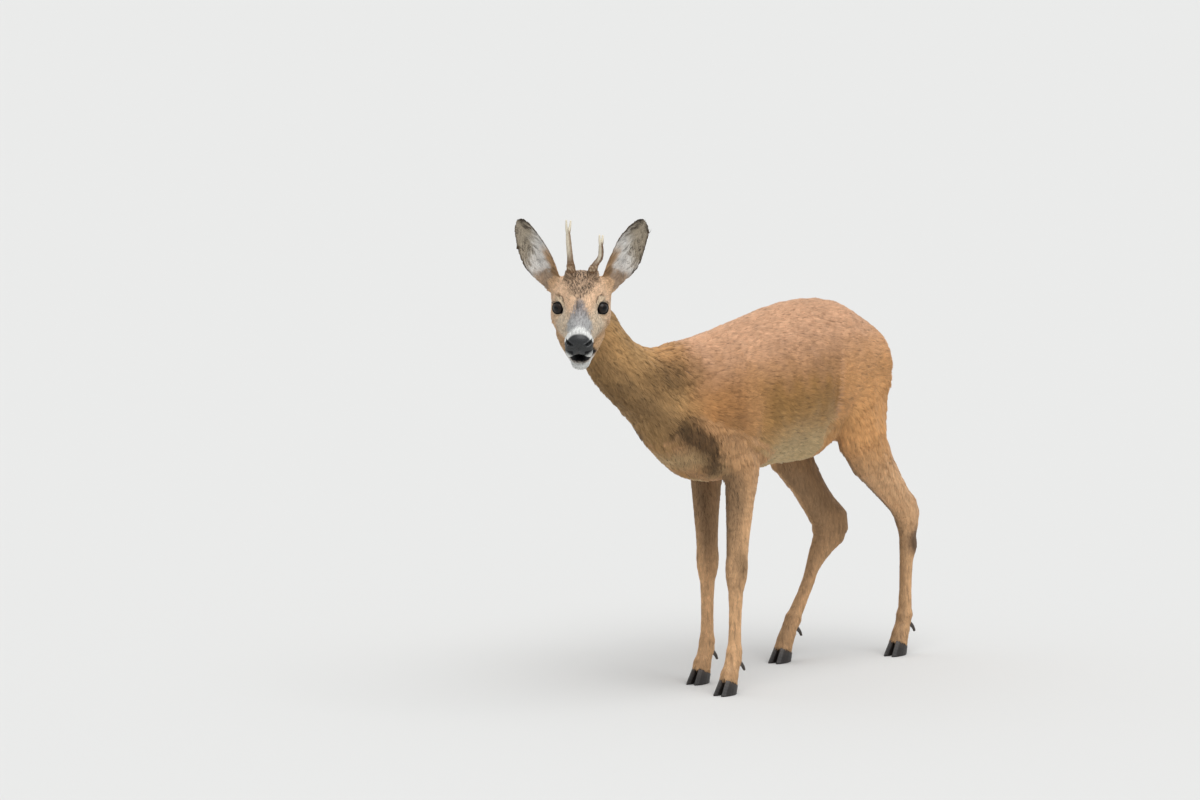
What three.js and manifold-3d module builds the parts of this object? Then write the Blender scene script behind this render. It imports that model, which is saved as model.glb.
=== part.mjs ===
// A roe deer: a yearling buck in its summer coat, standing still and looking to its left.
// Millimetres, +Z up, hooves on Z = 0. The trunk faces -Y, so +X is the deer's left side.
// The surfaces are those of the coat, out to the tips of the hair.

import * as THREE from "three";
import { mergeVertices } from "three/addons/utils/BufferGeometryUtils.js";
import Module from "manifold-3d";

const wasm = await Module();
wasm.setup();

// ---------------------------------------------------------------- driving dimensions

const GAP = 0.3; // between neighbouring solids
const FAR = 1500; // size of the blocks that cut, larger than the animal

// Sections of trunk and neck, from the rump to the nape. Each has its highest and its lowest point,
// its half width, and how much narrower it is above than below.
// x, top y, top z, bottom y, bottom z, half width, taper
const BODY = [
  [0, 356, 574, 356, 524, 14, 0],
  [0, 347, 604, 347, 494, 48, 0],
  [0, 325, 632, 322, 462, 73, 0],
  [0, 284, 656, 282, 436, 88, 0],
  [0, 222, 675, 225, 418, 95, 0.03],
  [0, 143, 683, 143, 406, 99, 0.1],
  [0, 60, 680, 60, 396, 104, 0.12],
  [0, -30, 669, -30, 388, 104, 0.15],
  [0, -110, 659, -105, 381, 97, 0.18],
  [0, -180, 652, -170, 380, 86, 0.2],
  [0, -240, 645, -228, 394, 74, 0.2],
  [-4, -282, 637, -286, 429, 65, 0.12],
  [-9, -317, 630, -362, 491, 57, 0.05],
  [-18, -357, 638, -433, 556, 50, 0],
  [-28, -397, 668, -480, 607, 45, 0],
  [-40, -429, 714, -511, 663, 43, 0],
  [-50, -466, 760, -528, 706, 40, 0],
  [-52, -492, 784, -530, 735, 32, 0],
];
const BODY_FACES = { sides: 22, rings: 27 };
// Muscle and bone under the coat: x, y, z, push in x, y and z, and how far it spreads. Both sides have it.
const BODY_FORMS = [
  [66, -205, 505, 10, -4, 0, 45], // point of the shoulder
  [60, -170, 600, 4, 0, 0, 40], // shoulder blade
  [84, 110, 610, -5, 0, 0, 40], // hollow of the flank
  [76, 165, 640, 5, 0, 3, 22], // hip bone
  [62, 118, 425, 3, 0, -13, 34], // fold between belly and thigh
  [62, 315, 590, 7, 8, 5, 38], // top of the buttock
];

const HEAD_AT = [-15, -547, 734]; // the point midway between the eyes
const HEAD_TURN = 32.5; // degrees, towards the deer's left
const HEAD_NOD = 24; // degrees of the line from eye to nose below the horizontal
// The head in its own frame: the nose towards -Y, and the X axis through both eyes.
const HEAD = [
  [0, 84, 16, 84, -10, 12, 0],
  [0, 78, 30, 80, -34, 33, 0],
  [0, 60, 42, 62, -52, 44, 0.06],
  [0, 40, 46, 38, -61, 49, 0.12],
  [0, 20, 46, 16, -62, 51.5, 0.14],
  [0, 0, 42, -4, -60, 51.5, 0.14],
  [0, -20, 35, -22, -55, 46, 0.18],
  [0, -40, 29, -40, -49, 39, 0.17],
  [0, -60, 24, -57, -42, 32, 0.14],
  [0, -80, 20, -76, -38, 27, 0.12],
  [0, -98, 16, -96, -35, 23.5, 0.08],
  [0, -111, 10, -110, -33, 22, 0.06],
  [0, -118, 4, -118, -27, 17.5, 0],
  [0, -122, -3, -122, -16, 8, 0],
];
const HEAD_FACES = { sides: 20, rings: 21 };
const HEAD_FORMS = [
  [44, -23, 3, -13, 3, 0, 11], // hollow ahead of the eye
  [42, 2, 19, 5, -1, 1, 9], // brow
  [43, 16, -36, 3, 0, 0, 18], // cheek
  [18, 42, 52, 0, 1, 6, 8], // stump under the antler
  [22, -106, -3, 1.5, 0, 1, 7], // side of the nostril
  [45, 50, 10, 12, 1, 5, 15], // root of the ear
];
const JAW = [
  [0, 30, -14, 30, -57, 30, 0],
  [0, 5, -18, 5, -67, 44, 0],
  [0, -25, -22, -25, -69, 43, 0],
  [1, -52, -32, -52, -68, 34, 0],
  [1, -74, -38, -75, -68, 26, 0],
  [2, -91, -43, -92, -69, 21.5, 0],
  [2, -101, -48, -102, -67, 17, 0],
  [2, -106, -54, -106, -61, 7, 0],
];
const JAW_FACES = { sides: 14, rings: 8 };
const JAW_SPLIT = -28; // ahead of this the jaw is a part of its own
const NOSE_TOP = { at: [0, -105, 0], facing: [0, -1, -0.3] }; // the bare nose is ahead of this plane
const NOSE_LOW = { at: [0, -105, -17], facing: [0, 0.1, 1] }; // and above this one
const NOSTRIL_LINE = [[15, -126, -6], [15, -116, -4], [12, -109, -2]];
const NOSTRIL_RADII = [4.5, 3];

const EYE_RADIUS = 14;
const EYE_AT = [35, -3, 0];
const EYE_FACES = [12, 8];

const EAR_LENGTH = 148;
const EAR_AT = [45, 50, 8]; // the root, inside the head
const EAR_SPLAY = 30; // degrees out from upright
const EAR_LEAN = 12; // degrees back from upright
const EAR_FACING = 8; // degrees the cup looks outward from straight ahead
const EAR_CURVE = 80; // degrees that each half of the cup bends through
const EAR_FACES = { across: 6, rings: 11 };
// Along an ear: place from root to tip, half width towards the middle, half width outward, depth, wall
const EAR = [
  [0, 18, 17, 16, 15.5],
  [0.12, 19, 20, 18, 17.5],
  [0.22, 21, 26, 21, 14],
  [0.33, 23.5, 31.5, 22, 7],
  [0.45, 24, 33, 21, 5.5],
  [0.6, 22, 31, 17, 5],
  [0.74, 18, 26, 13, 4.5],
  [0.86, 12, 19, 8, 4],
  [0.95, 6.5, 10.5, 4.5, 3],
  [1, 2, 2.5, 1.6, 1.4],
];

const ANTLER_RADIUS = 5.2;
// Shares of the radius, from the stump to the fork and from the fork to the tip.
const BEAM_TAPER = [1.5, 1.45, 1, 0.97, 0.93, 0.85, 0.75];
const TINE_TAPER = [0.62, 0.25];
// Each antler: the middle line of its beam and of its two short tines, in the head's frame.
const ANTLERS = {
  right: {
    beam: [[-17, 38, 50], [-18, 42, 70], [-20.5, 50, 95], [-22, 57, 116]],
    front_tine: [[-22, 57, 116], [-24.5, 56, 128], [-25, 60, 144]],
    rear_tine: [[-22, 57, 116], [-19, 62, 127], [-17.5, 68, 138]],
  },
  left: {
    beam: [[20, 38, 50], [26, 41, 64], [35, 46, 76], [36, 52, 95]],
    front_tine: [[36, 52, 95], [34, 52, 105], [33.5, 56, 116]],
    rear_tine: [[36, 52, 95], [38.5, 57, 104], [39, 62, 112]],
  },
};

const CORONET = 29; // top of the hoof at its front
const CORONET_SLOPE = 22; // degrees, falling towards the heel
const CORONET_FRONT = 18; // from the coronet joint to the front of the leg there
const CLAW_WIDTH = 16;
const CLAW_TOE = 38; // the tip's reach ahead of the coronet joint
const CLAW_HEEL = 11;
const CLAW_SPLAY = 5; // degrees
const CLAW_RISE = 36;
const CLAW_SLICES = 3;
const CLAW_HEEL_SLOPE = 0.35; // how far the heel comes in for each millimetre up
const CLAW_NARROWING = 0.003; // share of the width lost for each millimetre up
const CLAW_OUTER = [0, 0.12, 0.3, 0.5, 0.7, 0.86, 1]; // places from heel to toe on the outer side
const CLAW_INNER = [0.85, 0.5, 0.15];
const DEWCLAW_RADIUS = 5;
// From the fetlock joint, on the outer side: where a dewclaw starts in the leg and where it ends.
const DEWCLAW_LINE = [[8, 4, -10], [9, 13, -16], [10, 19, -26]];
const DEWCLAW_FACES = { sides: 6, rings: 3 };

// Along a leg. A place of 1.5 is halfway from joint 1 to joint 2.
// place, reach to the front, reach to the back, half width
const FORE_SECTIONS = [
  [-0.1, 20, 20, 6],
  [0.2, 58, 50, 25],
  [0.6, 55, 55, 31],
  [1, 42, 48, 27],
  [1.28, 35, 35, 24],
  [1.57, 29, 27, 21],
  [1.82, 24, 23, 19],
  [2, 24, 25, 20],
  [2.13, 21, 22, 18],
  [2.28, 15.5, 15.5, 13.5],
  [2.6, 13, 14, 11.5],
  [2.86, 13.5, 15, 12.5],
  [3, 17, 19, 15],
  [3.5, 16, 17, 14.5],
  [4, 20, 20, 17],
  [5, 20, 20, 17],
];
const HIND_SECTIONS = [
  [-0.3, 20, 20, 4],
  [-0.1, 60, 60, 20],
  [0.1, 80, 86, 33],
  [0.4, 90, 101, 39],
  [0.7, 80, 90, 38],
  [1, 60, 70, 35],
  [1.3, 43, 47, 28],
  [1.6, 32, 37, 22],
  [1.85, 27, 34, 18],
  [2, 26, 44, 18.5],
  [2.12, 22, 33, 17],
  [2.25, 16, 21, 14],
  [2.6, 13.5, 14, 11.5],
  [2.87, 13.5, 15, 12.5],
  [3, 17, 19, 15],
  [3.5, 16, 17, 14.5],
  [4, 20, 20, 17],
  [5, 20, 20, 17],
];
const LEG_FACES = { sides: 12, rings: 22 };
const KNEE = 1.6; // the place on a leg above which it is fleshy, and its bends are softer
// Joints: the leg's root in the trunk, elbow or stifle, carpus or hock, fetlock, coronet.
// The trunk keeps what is above the slanting plane through splitAt, and what is within LEG_SPLIT_IN of
// its middle.
const LEGS = {
  left_foreleg: {
    sections: FORE_SECTIONS,
    joints: [[52, -150, 480], [58, -138, 396], [59, -156, 224], [59, -163, 66], [59, -181, CORONET]],
    splitAt: [-72, 430],
    splitTilt: -22,
  },
  right_foreleg: {
    sections: FORE_SECTIONS,
    joints: [[-50, -112, 480], [-54, -86, 396], [-54, -79, 224], [-54, -81, 66], [-54, -99, CORONET]],
    splitAt: [-28, 430],
    splitTilt: -22,
  },
  left_hind_leg: {
    sections: HIND_SECTIONS,
    joints: [[48, 240, 590], [76, 240, 404], [62, 412, 258], [62, 404, 66], [62, 384, CORONET]],
    splitAt: [104, 456],
    splitTilt: 18,
  },
  right_hind_leg: {
    sections: HIND_SECTIONS,
    joints: [[-48, 238, 590], [-76, 200, 402], [-50, 333, 240], [-66, 218, 70], [-68, 194, CORONET]],
    splitAt: [84, 450],
    splitTilt: 18,
  },
};
const LEG_SPLIT_IN = 12;
// The neck is the part ahead of this plane.
const NECK_SPLIT = { at: [0, -292, 545], facing: [0, -0.93, 0.36] };

const TAIL_FACES = { sides: 8, rings: 5 };
const TAIL = [
  [0, 340, 606, 336, 588, 13, 0],
  [0, 355, 603, 347, 582, 15, 0],
  [0, 366, 589, 352, 570, 15, 0],
  [0, 370, 572, 356, 560, 12, 0],
  [0, 368, 558, 361, 552, 6, 0],
];

// ---------------------------------------------------------------- solids and cuts

const radians = (degrees) => (degrees * Math.PI) / 180;
const vector = (list) => new THREE.Vector3(...list);

// A closed mesh as a manifold-3d solid.
function solid(geometry) {
  const bare = geometry.clone();
  for (const name of Object.keys(bare.attributes)) {
    if (name !== "position") bare.deleteAttribute(name);
  }
  const merged = mergeVertices(bare, 1e-4);
  const mesh = new wasm.Mesh({
    numProp: 3,
    vertProperties: merged.attributes.position.array,
    triVerts: new Uint32Array(merged.index.array),
  });
  return new wasm.Manifold(mesh);
}

// A manifold-3d solid as a geometry with flat faces.
function geometryOf(made) {
  const mesh = made.getMesh();
  const geometry = new THREE.BufferGeometry();
  geometry.setAttribute("position", new THREE.BufferAttribute(mesh.vertProperties, 3));
  geometry.setIndex(new THREE.BufferAttribute(mesh.triVerts, 1));
  geometry.computeVertexNormals();
  return geometry;
}

// Everything beyond a plane, on the side it faces.
function beyond(at, facing, start = 0) {
  const up = new THREE.Vector3(0, 0, 1);
  const geometry = new THREE.BoxGeometry(FAR, FAR, FAR).translate(0, 0, FAR / 2 + start);
  const turn = new THREE.Quaternion().setFromUnitVectors(up, vector(facing).normalize());
  return solid(geometry.applyQuaternion(turn).translate(...at));
}

// The region that a leg takes from the trunk.
function legRegion({ splitAt, splitTilt, joints }, grow = 0) {
  const side = Math.sign(joints[1][0]);
  const tilt = radians(splitTilt);
  const at = [side * LEG_SPLIT_IN, ...splitAt];
  const beside = beyond(at, [side, 0, 0], -grow);
  const below = beyond(at, [0, Math.sin(tilt), -Math.cos(tilt)], -grow);
  const along = beyond(at, [0, Math.sign(tilt), 0], -grow);
  return beside.intersect(below).intersect(along);
}

// Rings of points, each joined to the next, with the first and the last closed over.
function overRings(rings) {
  const sides = rings[0].length;
  const points = rings.flat();
  const faces = [];
  for (let r = 0; r < rings.length - 1; r++) {
    for (let i = 0; i < sides; i++) {
      const a = r * sides + i;
      const b = r * sides + ((i + 1) % sides);
      faces.push(a, b, a + sides, b, b + sides, a + sides);
    }
  }
  const middle = (ring) => ring.reduce((sum, p) => sum.add(p), new THREE.Vector3()).divideScalar(sides);
  const first = points.push(middle(rings[0])) - 1;
  const last = points.push(middle(rings.at(-1))) - 1;
  const start = (rings.length - 1) * sides;
  for (let i = 0; i < sides; i++) {
    const next = (i + 1) % sides;
    faces.push(first, next, i, last, start + i, start + next);
  }
  const geometry = new THREE.BufferGeometry().setFromPoints(points);
  geometry.setIndex(faces);
  return solid(geometry);
}

// A smooth run through rows of numbers, read at any place from 0 to 1.
function smooth(rows) {
  const groups = Math.ceil(rows[0].length / 3);
  const curves = Array.from({ length: groups }, (_, g) => {
    const triple = (row) => [0, 1, 2].map((i) => row[3 * g + i] ?? 0);
    const points = rows.map((row) => vector(triple(row)));
    return new THREE.CatmullRomCurve3(points, false, "catmullrom", 0.5);
  });
  return (place) => curves.flatMap((curve) => curve.getPoint(place).toArray());
}

// Moves a point by every form near it, on either side.
function formed(point, forms) {
  const moved = point.clone();
  for (const [x, y, z, pushX, pushY, pushZ, spread] of forms) {
    for (const side of [1, -1]) {
      const distance = point.distanceTo(new THREE.Vector3(side * x, y, z));
      const share = Math.exp(-(distance * distance) / (2 * spread * spread));
      moved.add(new THREE.Vector3(side * pushX * share, pushY * share, pushZ * share));
    }
  }
  return moved;
}

// Oval sections joined into one solid.
// Each row is x, top y, top z, bottom y, bottom z, half width, taper.
function ovals(rows, { sides, rings, forms = [], grow = 0 }) {
  const read = smooth(rows);
  const centreAt = (place) => {
    const [x, topY, topZ, lowY, lowZ] = read(Math.min(1, Math.max(0, place)));
    return new THREE.Vector3(x, (topY + lowY) / 2, (topZ + lowZ) / 2);
  };
  const made = [];
  for (let r = 0; r <= rings; r++) {
    const place = r / rings;
    const [, topY, topZ, lowY, lowZ, half, taper] = read(place);
    const up = new THREE.Vector3(0, topY - lowY, topZ - lowZ).multiplyScalar(0.5);
    const ahead = centreAt(place + 0.01).sub(centreAt(place - 0.01)).normalize();
    const across = new THREE.Vector3().crossVectors(up, ahead).normalize();
    const centre = centreAt(place).addScaledVector(ahead, r === 0 ? -grow : r === rings ? grow : 0);
    up.setLength(up.length() + grow);
    const ring = [];
    for (let i = 0; i < sides; i++) {
      const angle = (2 * Math.PI * i) / sides;
      const width = (half + grow) * (1 - taper * Math.sin(angle)) * Math.cos(angle);
      const point = centre.clone().addScaledVector(across, width).addScaledVector(up, Math.sin(angle));
      ring.push(formed(point, forms));
    }
    made.push(ring);
  }
  return overRings(made);
}

// A round rod along a smooth line. Its radii are spaced evenly from start to end.
function rod(points, radii, { sides = 8, rings = 6, grow = 0 } = {}) {
  const line = new THREE.CatmullRomCurve3(points.map(vector));
  const radiusAt = (place) => {
    const i = Math.min(radii.length - 2, Math.floor(place * (radii.length - 1)));
    return THREE.MathUtils.lerp(radii[i], radii[i + 1], place * (radii.length - 1) - i);
  };
  const made = [];
  for (let r = 0; r <= rings; r++) {
    const place = r / rings;
    const ahead = line.getTangent(place);
    const across = new THREE.Vector3(0, 1, 0).cross(ahead).normalize();
    const up = new THREE.Vector3().crossVectors(ahead, across);
    const radius = radiusAt(place) + grow;
    const centre = line.getPoint(place).addScaledVector(ahead, r === 0 ? -grow : r === rings ? grow : 0);
    const ring = [];
    for (let i = 0; i < sides; i++) {
      const angle = (2 * Math.PI * i) / sides;
      ring.push(
        centre
          .clone()
          .addScaledVector(across, radius * Math.cos(angle))
          .addScaledVector(up, radius * Math.sin(angle)),
      );
    }
    made.push(ring);
  }
  return overRings(made);
}

// ---------------------------------------------------------------- trunk and legs

function legFlesh({ joints, sections }) {
  const { sides, rings: count } = LEG_FACES;
  const points = joints.map(vector);
  points.push(points.at(-1).clone().add(new THREE.Vector3(0, -6, 6 - CORONET)));
  const last = points.length - 1;
  const onBones = (place) => {
    const i = Math.min(last - 1, Math.max(0, Math.floor(place)));
    return points[i].clone().lerp(points[i + 1], place - i);
  };
  const ease = (place) => (place < KNEE ? 0.16 : 0.1);
  const at = (place) => {
    const before = onBones(place - ease(place));
    return before.add(onBones(Math.min(last, place + ease(place)))).multiplyScalar(0.5);
  };
  const read = smooth(sections);
  const rings = [];
  for (let r = 0; r <= count; r++) {
    const [place, front, back, half] = read(r / count);
    const reach = place < KNEE ? 0.3 : 0.2;
    const inHoof = place > joints.length - 1.1;
    const down = inHoof ? new THREE.Vector3(0, 0, -1) : at(place + reach).sub(at(place - reach));
    const forward = new THREE.Vector3(0, down.z, -down.y).normalize();
    const ring = [];
    for (let i = 0; i < sides; i++) {
      const angle = (2 * Math.PI * i) / sides;
      const depth = Math.sin(angle) * (Math.sin(angle) > 0 ? front : back);
      ring.push(
        at(place)
          .add(new THREE.Vector3(half * Math.cos(angle), 0, 0))
          .addScaledVector(forward, depth),
      );
    }
    rings.push(ring);
  }
  return overRings(rings);
}

const CORONET_NORMAL = [0, Math.sin(radians(CORONET_SLOPE)), Math.cos(radians(CORONET_SLOPE))];

function coronetAt({ joints }) {
  const [x, y, z] = joints.at(-1);
  return [x, y - CORONET_FRONT, z];
}

// The share of its full width that a claw has at a place from heel to toe: widest behind its middle.
const clawWidthAt = (s) => Math.min(1, 0.25 + 1.25 * s ** 0.35 * (1 - s) ** 0.55);

// One claw of a hoof: flat slices, blunt at the heel, pointed at the toe, flat on the side by its twin.
function claw(leg, side) {
  const [x, y] = leg.joints.at(-1);
  const rings = [];
  for (let r = 0; r <= CLAW_SLICES; r++) {
    const z = (CLAW_RISE * r) / CLAW_SLICES;
    const slope = (CLAW_TOE - CORONET_FRONT) / CORONET;
    const toe = -CLAW_TOE + slope * z;
    const heel = CLAW_HEEL + CLAW_HEEL_SLOPE * z;
    const wide = CLAW_WIDTH * (1 - CLAW_NARROWING * z);
    const point = (s, across) => new THREE.Vector3(side * across, THREE.MathUtils.lerp(heel, toe, s), z);
    const ring = [
      ...CLAW_OUTER.map((s) => point(s, 1 + wide * clawWidthAt(s))),
      ...CLAW_INNER.map((s) => point(s, 1)),
    ];
    rings.push(side > 0 ? ring.reverse() : ring);
  }
  const splay = new THREE.Matrix4().makeRotationZ(radians(side * CLAW_SPLAY));
  const move = new THREE.Vector3(x, y, 0);
  const placed = rings.map((ring) => ring.map((p) => p.applyMatrix4(splay).add(move)));
  return overRings(placed).subtract(beyond(coronetAt(leg), CORONET_NORMAL, -GAP));
}

function dewclaw({ joints }, side, grow = 0) {
  const fetlock = vector(joints[3]);
  const line = DEWCLAW_LINE.map(([x, y, z]) => [fetlock.x + side * x, fetlock.y + y, fetlock.z + z]);
  return rod(line, [DEWCLAW_RADIUS, DEWCLAW_RADIUS / 2], { ...DEWCLAW_FACES, grow });
}

// ---------------------------------------------------------------- head

function cranium(grow = 0) {
  return ovals(HEAD, { ...HEAD_FACES, forms: HEAD_FORMS, grow });
}

function jawbone(grow = 0) {
  return ovals(JAW, { ...JAW_FACES, grow });
}

function eyeball(side, grow = 0) {
  const [x, y, z] = EYE_AT;
  return solid(new THREE.SphereGeometry(EYE_RADIUS + grow, ...EYE_FACES).translate(side * x, y, z));
}

function noseRegion(grow = 0) {
  const ahead = beyond(NOSE_TOP.at, NOSE_TOP.facing, -grow);
  return ahead.intersect(beyond(NOSE_LOW.at, NOSE_LOW.facing, -grow));
}

function nostril(side) {
  const line = NOSTRIL_LINE.map(([x, y, z]) => [side * x, y, z]);
  return rod(line, NOSTRIL_RADII, { sides: 6, rings: 2 });
}

// An ear as a cup: each section is a curved wall, filled in at the root.
function ear(side) {
  const { across, rings } = EAR_FACES;
  const spread = radians(EAR_CURVE);
  const read = smooth(EAR);
  const made = [];
  for (let r = 0; r <= rings; r++) {
    const [place, inward, outward, depth, wall] = read(r / rings);
    const arc = (angle, thin) => {
      const half = angle < 0 ? inward : outward;
      const reach = (half - thin * 0.45) * (Math.sin(angle) / Math.sin(spread));
      const sag = (Math.cos(angle) - Math.cos(spread)) / (1 - Math.cos(spread));
      return new THREE.Vector3(reach, (depth - thin) * sag, place * EAR_LENGTH);
    };
    const back = [];
    const front = [];
    for (let i = 0; i < across; i++) {
      const angle = spread * ((2 * i) / (across - 1) - 1);
      back.push(arc(angle, 0));
      front.unshift(arc(angle, wall));
    }
    made.push([...back, ...front]);
  }
  const turn = new THREE.Matrix4().makeRotationFromEuler(
    new THREE.Euler(radians(-EAR_LEAN), radians(EAR_SPLAY), radians(EAR_FACING), "ZXY"),
  );
  const [x, y, z] = EAR_AT;
  const place = (p) => {
    p.applyMatrix4(turn).add(new THREE.Vector3(x, y, z));
    p.x *= side;
    return p;
  };
  const placed = made.map((ring) => (side > 0 ? ring.reverse() : ring).map(place));
  return overRings(placed);
}

// ---------------------------------------------------------------- the whole animal

const MATERIALS = {
  coat: [0xa8663c, 0.9],
  neck: [0x8f6344, 0.9],
  face: [0x9c6a45, 0.9],
  shank: [0x8a5c3c, 0.9],
  ear: [0x8b7566, 0.9],
  tail: [0xb98a62, 0.9],
  nose: [0x17161a, 0.35],
  eye: [0x0c0908, 0.1],
  antler: [0x8a705a, 0.6],
  hoof: [0x1f1b19, 0.5],
};

function named(name, made, finish) {
  const [color, roughness] = MATERIALS[finish];
  const material = new THREE.MeshStandardMaterial({ color, roughness, metalness: 0, flatShading: true });
  const mesh = new THREE.Mesh(geometryOf(made), material);
  mesh.name = name;
  return mesh;
}

const deer = new THREE.Group();
const headGroup = new THREE.Group();
headGroup.position.set(...HEAD_AT);
headGroup.rotation.set(radians(HEAD_NOD), 0, radians(HEAD_TURN), "ZXY");
headGroup.updateMatrix();
deer.add(headGroup);

// The head's own parts, in its frame.
const jaw = jawbone();
const aheadOfJawSplit = (start) => beyond([0, JAW_SPLIT, 0], [0, -1, 0], start);
const antlerParts = Object.entries(ANTLERS).flatMap(([side, { beam, front_tine, rear_tine }]) => {
  const beamRadii = BEAM_TAPER.map((share) => share * ANTLER_RADIUS);
  const tineRadii = TINE_TAPER.map((share) => share * ANTLER_RADIUS);
  const ofBeam = (grow) => rod(beam, beamRadii, { rings: 8, grow });
  const ofTine = (line, grow) => rod(line, tineRadii, { sides: 6, rings: 3, grow });
  const whole = ofBeam(0);
  const front = ofTine(front_tine, 0);
  const rear = ofTine(rear_tine, 0);
  const beamGrown = ofBeam(GAP);
  const frontGrown = ofTine(front_tine, GAP);
  return [
    [`${side}_antler_beam`, whole, beamGrown],
    [`${side}_antler_front_tine`, front.subtract(beamGrown), frontGrown],
    [`${side}_antler_rear_tine`, rear.subtract(beamGrown).subtract(frontGrown), frontGrown],
  ];
});

let head = cranium().add(jaw.subtract(aheadOfJawSplit()));
const headAndJaw = cranium(GAP).add(jawbone(GAP));
for (const side of [1, -1]) head = head.subtract(eyeball(side, GAP));
for (const [, , grown] of antlerParts) head = head.subtract(grown);
head = head.subtract(noseRegion(GAP));
let nose = cranium().intersect(noseRegion());
for (const side of [1, -1]) nose = nose.subtract(nostril(side));

headGroup.add(named("head", head, "face"));
headGroup.add(named("nose", nose, "nose"));
const lowerJaw = jaw.intersect(aheadOfJawSplit(GAP)).subtract(cranium(GAP));
headGroup.add(named("lower_jaw", lowerJaw, "face"));
for (const [name, side] of [["left", 1], ["right", -1]]) {
  headGroup.add(named(`${name}_eye`, eyeball(side), "eye"));
  headGroup.add(named(`${name}_ear`, ear(side).subtract(headAndJaw), "ear"));
}
for (const [name, made] of antlerParts) headGroup.add(named(name, made, "antler"));

// Trunk, neck and legs, grown together and parted by thin cuts.
const ofBody = (grow) => ovals(BODY, { ...BODY_FACES, forms: BODY_FORMS, grow });
let flesh = ofBody(0);
for (const leg of Object.values(LEGS)) flesh = flesh.add(legFlesh(leg));

const headInPlace = solid(geometryOf(headAndJaw).applyMatrix4(headGroup.matrix));
const neck = flesh.intersect(beyond(NECK_SPLIT.at, NECK_SPLIT.facing, GAP)).subtract(headInPlace);
const behindNeck = flesh.subtract(beyond(NECK_SPLIT.at, NECK_SPLIT.facing));
let trunk = behindNeck;

for (const [name, leg] of Object.entries(LEGS)) {
  trunk = trunk.subtract(legRegion(leg, GAP));
  const down = CORONET_NORMAL.map((n) => -n);
  let shank = behindNeck.intersect(legRegion(leg)).subtract(beyond(coronetAt(leg), down));
  for (const [which, side] of [["left", 1], ["right", -1]]) {
    const prefix = `${name.replace(/_?leg/, "")}_${which}`;
    shank = shank.subtract(dewclaw(leg, side, GAP));
    deer.add(named(`${prefix}_claw`, claw(leg, side), "hoof"));
    deer.add(named(`${prefix}_dewclaw`, dewclaw(leg, side), "hoof"));
  }
  deer.add(named(name, shank, "shank"));
}
deer.add(named("neck", neck, "neck"));
deer.add(named("trunk", trunk, "coat"));
deer.add(named("tail", ovals(TAIL, TAIL_FACES).subtract(ofBody(GAP)), "tail"));

// The origin is on the floor, under the middle of the whole animal.
deer.updateMatrixWorld(true);
const bounds = new THREE.Box3().setFromObject(deer, true);
const middle = bounds.getCenter(new THREE.Vector3());
deer.position.set(-middle.x, -middle.y, -bounds.min.z);

export default deer;
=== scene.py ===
"""A young roe buck in its summer coat, dressed over the frame's solids.

The flesh nodes are grown into one skin, which lies inside them by the depth of the coat. Over it lie tufts
of hair, each a thin wedge. Shapes are worked out in millimetres, in the deer's own coordinates: the trunk
faces -Y, +X is the deer's left side, and the hooves stand on Z = 0.
"""

import math

import bmesh
import bpy
import numpy as np
from mathutils import Matrix, Vector
from mathutils.bvhtree import BVHTree
from mathutils.kdtree import KDTree


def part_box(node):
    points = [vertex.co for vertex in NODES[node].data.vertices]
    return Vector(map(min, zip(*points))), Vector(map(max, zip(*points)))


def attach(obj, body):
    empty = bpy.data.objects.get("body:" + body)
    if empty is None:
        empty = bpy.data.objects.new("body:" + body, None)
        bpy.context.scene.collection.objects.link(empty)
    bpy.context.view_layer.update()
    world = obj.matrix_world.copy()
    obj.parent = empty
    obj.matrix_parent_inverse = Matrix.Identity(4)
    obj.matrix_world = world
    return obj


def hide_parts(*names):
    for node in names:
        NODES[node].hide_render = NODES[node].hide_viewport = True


MM = 0.001
SEED = 11

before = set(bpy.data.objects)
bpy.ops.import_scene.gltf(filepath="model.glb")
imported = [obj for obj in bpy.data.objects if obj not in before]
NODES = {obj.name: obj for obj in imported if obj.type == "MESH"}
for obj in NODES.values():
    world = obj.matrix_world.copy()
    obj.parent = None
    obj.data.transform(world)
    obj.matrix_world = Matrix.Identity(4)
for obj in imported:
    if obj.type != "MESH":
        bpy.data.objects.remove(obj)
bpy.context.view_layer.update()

# ---------------------------- the animal's measures

FLESH = ("trunk", "neck", "head", "nose", "lower_jaw", "left_ear", "right_ear", "tail",
         "left_foreleg", "right_foreleg", "left_hind_leg", "right_hind_leg")
EYE_NODES = ("left_eye", "right_eye")
FACE_NODES = ("head", "lower_jaw") + EYE_NODES
FEET = ("left_fore", "right_fore", "left_hind", "right_hind")
SIDES = {"left": 1, "right": -1}

HEAD_AT = np.array([-15.0, -547.0, 734.0])
HEAD_TURN = math.radians(32.5)
HEAD_NOD = math.radians(24)

EYE_RADIUS = 14.0
EYE_AT = np.array([35.0, -3.0, 0.0])  # in the head's own axes, for the left side
GAZE_TURN = math.radians(41)  # from straight ahead
GAZE_RISE = math.radians(24)
LIDS_HALF_LENGTH = 1.05  # radians along the eyeball, from the middle to a corner
LIDS_UP = 0.70
LIDS_DOWN = 0.64
LID_THICK = 0.9

EAR_AT = np.array([45.0, 50.0, 8.0])
EAR_LENGTH = 148.0
EAR_LEAN = math.radians(12)
EAR_SPLAY = math.radians(30)
EAR_FACING = math.radians(8)
EAR_OPEN = 30.0  # the cup is hollow from this far along
EAR_MIDDLE = 3.0  # of the cup, across the ear

OVERLAP = 0.6  # grows each solid, so that neighbours join
VOXEL = 2.6

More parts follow.
